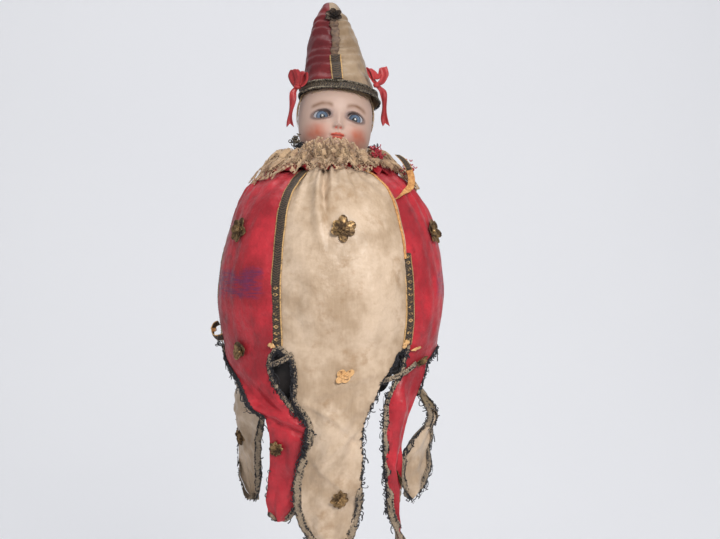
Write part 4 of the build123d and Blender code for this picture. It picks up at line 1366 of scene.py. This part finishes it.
# --- Ruff -------------------------------------------------------------------------------------------
def lace_layer(title, rows, columns, place, seed):
    """Gathered lace: a thread net with woven motifs and a scalloped edge; place(s, h) gives points."""
    motif = 9
    s, h = np.meshgrid(np.linspace(0, 1, columns), np.linspace(0, 1, rows), indexing="ij")
    shift = 0.5 / columns * (np.arange(rows) % 2)[None]
    points = place(s + shift, h)
    rng = np.random.default_rng(seed)
    points = points + rng.normal(size=points.shape) * 0.17
    faces = grid_faces(columns, rows)
    i, j = np.meshgrid(np.arange(columns - 1), np.arange(rows - 1), indexing="ij")
    i, j = i.ravel(), j.ravel()
    cell, across = i % motif - motif / 2, j / (rows - 1)
    scallop = 1 - 0.13 * (np.abs(cell) / (motif / 2)) ** 2 * 1.4
    kept = across < scallop
    leaf = np.abs(cell) < 2.4 * np.sin(np.pi * np.clip((across - 0.30) / 0.52, 0, 1))
    leaf = leaf & (across > 0.3) & (across < 0.82)
    edge = (across > scallop - 0.12) & ((i + j) % 3 != 0)
    heading = across < 0.08
    woven = kept & (leaf & (rng.random(len(i)) > 0.10) | edge | heading)
    torn = ripple(np.stack([i, j * 3.0, 0 * i], -1), 55, seed) > 1.15
    net = mesh_piece(title, points, faces[kept & ~torn], LACE, "lace", "costume")
    wire = net.modifiers.new("net", "WIREFRAME")
    wire.thickness = 0.34 * MM
    wire.use_even_offset = False
    cloth = mesh_piece(f"{title}_motifs", points, faces[woven & ~torn], LACE, "lace", "costume")
    thicken(cloth, 0.45)
    return net


def collar_place(inner, outer, gathers, seed, sag=1.0):
    """A gathered strip lying over the shoulders: h runs from the neck outward."""
    def place(s, h):
        turn = -180 + 360 * s
        a = np.radians(turn)
        fold = np.sin(gathers * a + 1.4 * np.sin(a * 5 + seed)) + 0.4 * np.sin(gathers * 1.7 * a + seed)
        reach = outer * (0.74 + 0.26 * np.sin(a) ** 2) + 1.2 * np.sin(7 * a + seed * 2)
        r = inner + (reach - inner) * h + 0.7 * np.cos(gathers * a) * h
        off = np.clip(r, shoulder_center[0], 71) - shoulder_center[0]
        z = shoulder_center[1] + np.sqrt(np.clip(shoulder_radius**2 - off**2, 0, None))
        arch = (6.5 + 2.0 * np.sin(a) ** 2) * np.sin(np.pi * np.clip(h * 0.72 + 0.2, 0, 1)) * sag
        return around(r, turn, z + arch + 1.2 + (1.0 + 0.7 * h) * fold + 2.2 * h**3)
    return place


def frill_place(low, high, gathers, seed, half=68, spread=7.0):
    """The upright frill under the chin: h runs from low to high."""
    def place(s, h):
        turn = -half + 2 * half * s
        a = np.radians(turn)
        fold = np.sin(gathers * a + seed) + 0.5 * np.sin(gathers * 1.9 * a + 2 * seed)
        taper = smooth(np.abs(turn + 4), half, 14)
        r = 24.5 + spread * np.sin(h * 2.4) + 0.9 * fold * (0.3 + h)
        z = low + (high - low) * h * (0.30 + 0.70 * taper) + 0.6 * np.cos(gathers * 1.3 * a + seed) * h
        return around(r, turn + 3, z)
    return place


def build_ruff():
    """Two lace collars, two frills and the red silk they are sewn to."""
    lower = lace_layer("lace_lower", 17, 250, collar_place(25, 60, 24, 1.0), 1)
    lace_layer("lace_middle", 14, 230, collar_place(25, 48, 28, 2.3, 1.5), 2)
    upper = lace_layer("lace_frill", 15, 110, frill_place(124, 140.6, 17, 0.4, 66), 3)
    lace_layer("lace_frill_front", 14, 100, frill_place(121, 136, 21, 1.9, 62, 9.0), 4)
    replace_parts(lower, "ruff_lower")
    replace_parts(upper, "ruff_upper")
    s, h = np.meshgrid(np.linspace(0, 1, 240), np.linspace(0, 1, 10), indexing="ij")
    under = collar_place(19, 47, 29, 0.3, 0.55)(s, h) - [0, 0, 2.0]
    thicken(surface("ruff_red_under", under, RED, "red_satin", "costume"), 0.3)


tuft_rng = random.Random(31)


def curls(title, center, count, spread, size, radius, material, loops=1.4):
    """A tuft of curled threads round a centre."""
    parts = []
    for _ in range(count):
        at = np.array(center) + np.array([tuft_rng.gauss(0, spread) for _ in range(3)])
        axis = unit(np.array([tuft_rng.gauss(0, 1) for _ in range(3)]))
        side = unit(np.cross(axis, [0.2, 0.3, 1]))
        k = np.linspace(0, loops * 2 * math.pi, 16)[:, None]
        r = size * tuft_rng.uniform(0.5, 1.1) * (1 - 0.4 * k / k[-1])
        path = at + r * np.cos(k) * side + r * np.sin(k) * np.cross(axis, side) + k * 0.25 * axis
        parts.append(tube(path, radius, 4))
    mesh_piece(title, *join(parts), material, "thread", "costume")


def build_tufts():
    """Frayed silk and curled tinsel caught in the ruff, and a torn fold of braid at the left notch."""
    curls("tinsel_left", (-23.5, -12, 140), 15, 1.5, 2.2, 0.34, TINSEL)
    curls("tinsel_left_dark", (-22, -13, 136.5), 18, 1.7, 1.7, 0.3, FRAY)
    curls("tinsel_right", (29, -14, 134), 14, 1.5, 1.8, 0.28, FRAY)
    curls("silk_tuft", (31, -22, 131), 60, 2.3, 1.9, 0.34, LOOSE_RED, 0.6)
    curls("silk_tuft_right", (53, -16, 121), 50, 1.7, 1.7, 0.34, LOOSE_RED, 0.6)
    k = np.linspace(0, 1, 30)
    path = np.stack([-72 - 8.5 * np.sin(2.6 * k), -12 + 3 * k, 7 + 5.5 * k - 3 * np.sin(5 * k)], -1)
    lean = unit(np.array([[0.3, 0.7, -0.65]]))
    out = unit(np.cross(np.gradient(path, axis=0), lean))
    band("braid_tuft", GALLOON, "dark_braid", "costume", path, lean, out, 6.5 - 2 * k, 0.8, 9)
    curls("braid_tuft_gold", (-79.5, -10.5, 11), 10, 0.8, 1.2, 0.35, ORANGE, 0.5)
    curls("braid_tuft_threads", (-76, -10, 3), 14, 1.8, 2.2, 0.22, FRAY, 0.7)


def build_loose_braid():
    """The peeled end of the right seam braid: a dark curl that falls back as bare orange backing."""
    knots = [(45, -31, 129), (49, -31, 126), (52.5, -29, 121), (55, -25, 114), (54.5, -27, 108),
             (50, -36.5, 103.5), (44.5, -45, 99.5)]
    path = soften(resample(knots, 0.8), 10)
    k = np.linspace(0, 1, len(path))
    c, d = math.cos(math.radians(35)), math.sin(math.radians(35))
    across = unit(np.stack([c + 0.3 * np.sin(k * 6), d - 0.5 * k, 0.35 * np.sin(k * 8)], -1))
    normal = unit(np.cross(np.gradient(path, axis=0), across))

    def ragged(along, share):
        return 0.3 * np.sin(along * 2.7) * (share > 0.2)

    width = 5.0 * (0.7 + 0.3 * np.sin(k * 2.6 + 0.3))
    split = len(path) * 6 // 20
    for title, part, material in (("loose_braid_end", slice(split - 2, None), ORANGE),
                                  ("loose_braid_top", slice(0, split), GALLOON)):
        loose = band(title, material, "dark_braid", "costume", path[part], across[part], -normal[part],
                     width[part], 0.8, 9, ragged)
    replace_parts(loose, "loose_braid")


# --- Carried-over CAD pieces, stage, light and camera -----------------------------------------------
def dress(node, material):
    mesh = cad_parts[node].data
    mesh.materials.clear()
    mesh.materials.append(material)


def build_stage():
    """Pale floor that sweeps up behind."""
    floor_z, reach, sweep, wall = -300, 2600, 900, 2600
    bend = np.linspace(0, np.pi / 2, 24)[1:]
    y = np.concatenate([np.linspace(-2200, sweep, 12), sweep + sweep * np.sin(bend), [2 * sweep] * 6])
    z = np.concatenate([np.zeros(12), sweep * (1 - np.cos(bend)), sweep + np.linspace(400, wall, 6)])
    x, y = np.meshgrid(np.linspace(-reach, reach, 8), y)
    points = np.stack([x, y, np.broadcast_to((z + floor_z)[:, None], x.shape)], -1)
    s = Shader("backdrop", 0.9)
    drift = s.ramp(s.noise(s.place(), 0.0012, 2), 0.3, 0.7)
    s.color(s.mix(drift, (0.85, 0.855, 0.88), (0.87, 0.875, 0.895)))
    mesh = bpy.data.meshes.new("backdrop")
    mesh.from_pydata((points.reshape(-1, 3) * MM).tolist(), [], grid_faces(*x.shape).tolist())
    mesh.polygons.foreach_set("use_smooth", [True] * len(mesh.polygons))
    mesh.materials.append(s.material)
    floor = bpy.data.objects.new("backdrop", mesh)
    bpy.context.scene.collection.objects.link(floor)


def area_light(name, at, toward, size, power, color=(1, 1, 1)):
    lamp = bpy.data.lights.new(name, "AREA")
    lamp.shape, lamp.size, lamp.size_y, lamp.energy, lamp.color = "RECTANGLE", size, size, power, color
    light = bpy.data.objects.new(name, lamp)
    light.location = at
    light.rotation_euler = (Vector(toward) - Vector(at)).to_track_quat("-Z", "Y").to_euler()
    bpy.context.scene.collection.objects.link(light)


def build_light_and_camera():
    """Soft studio light from the front right, and a long lens level with the belly."""
    area_light("key", (0.32, -1.0, 0.50), (0, 0, 0.03), 0.40, 11.6, (1.0, 0.975, 0.94))
    area_light("fill", (-1.3, -1.0, 0.5), (0, 0, 0.05), 1.2, 2.2, (0.95, 0.97, 1.0))
    area_light("top", (0, 0.2, 1.7), (0, 0, 0.1), 1.2, 3)
    area_light("wash", (0, 0.2, 2.2), (0, 1.7, 0.2), 1.6, 25)
    world = bpy.data.worlds.new("studio")
    world.use_nodes = True
    background = world.node_tree.nodes["Background"]
    background.inputs["Color"].default_value = (0.92, 0.94, 1.0, 1)
    background.inputs["Strength"].default_value = 0.32
    bpy.context.scene.world = world
    bpy.context.scene.view_settings.view_transform = "Standard"
    camera = bpy.data.cameras.new("camera")
    camera.sensor_width, camera.lens = 36, 79.7
    seen = bpy.data.objects.new("camera", camera)
    seen.location = (0.020, -1.1, 0.052)
    seen.rotation_euler = (math.radians(90), 0, 0)
    bpy.context.scene.collection.objects.link(seen)
    bpy.context.scene.camera = seen


build_costume()
build_sleeve()
build_lappet_trims()
build_straps()
build_dabs()
build_seam_braids()
build_flowers()
build_head()
build_eyes()
build_lashes()
build_hair()
build_hat_cloth()
build_brim()
build_hat_front()
build_ribbons()
build_ruff()
build_tufts()
build_loose_braid()
for node, material in (("neck_band", CREAM), ("neck_cord", CORD), ("finger_tube", BOARD), ("pate", CORK)):
    dress(node, material)
build_stage()
build_light_and_camera()
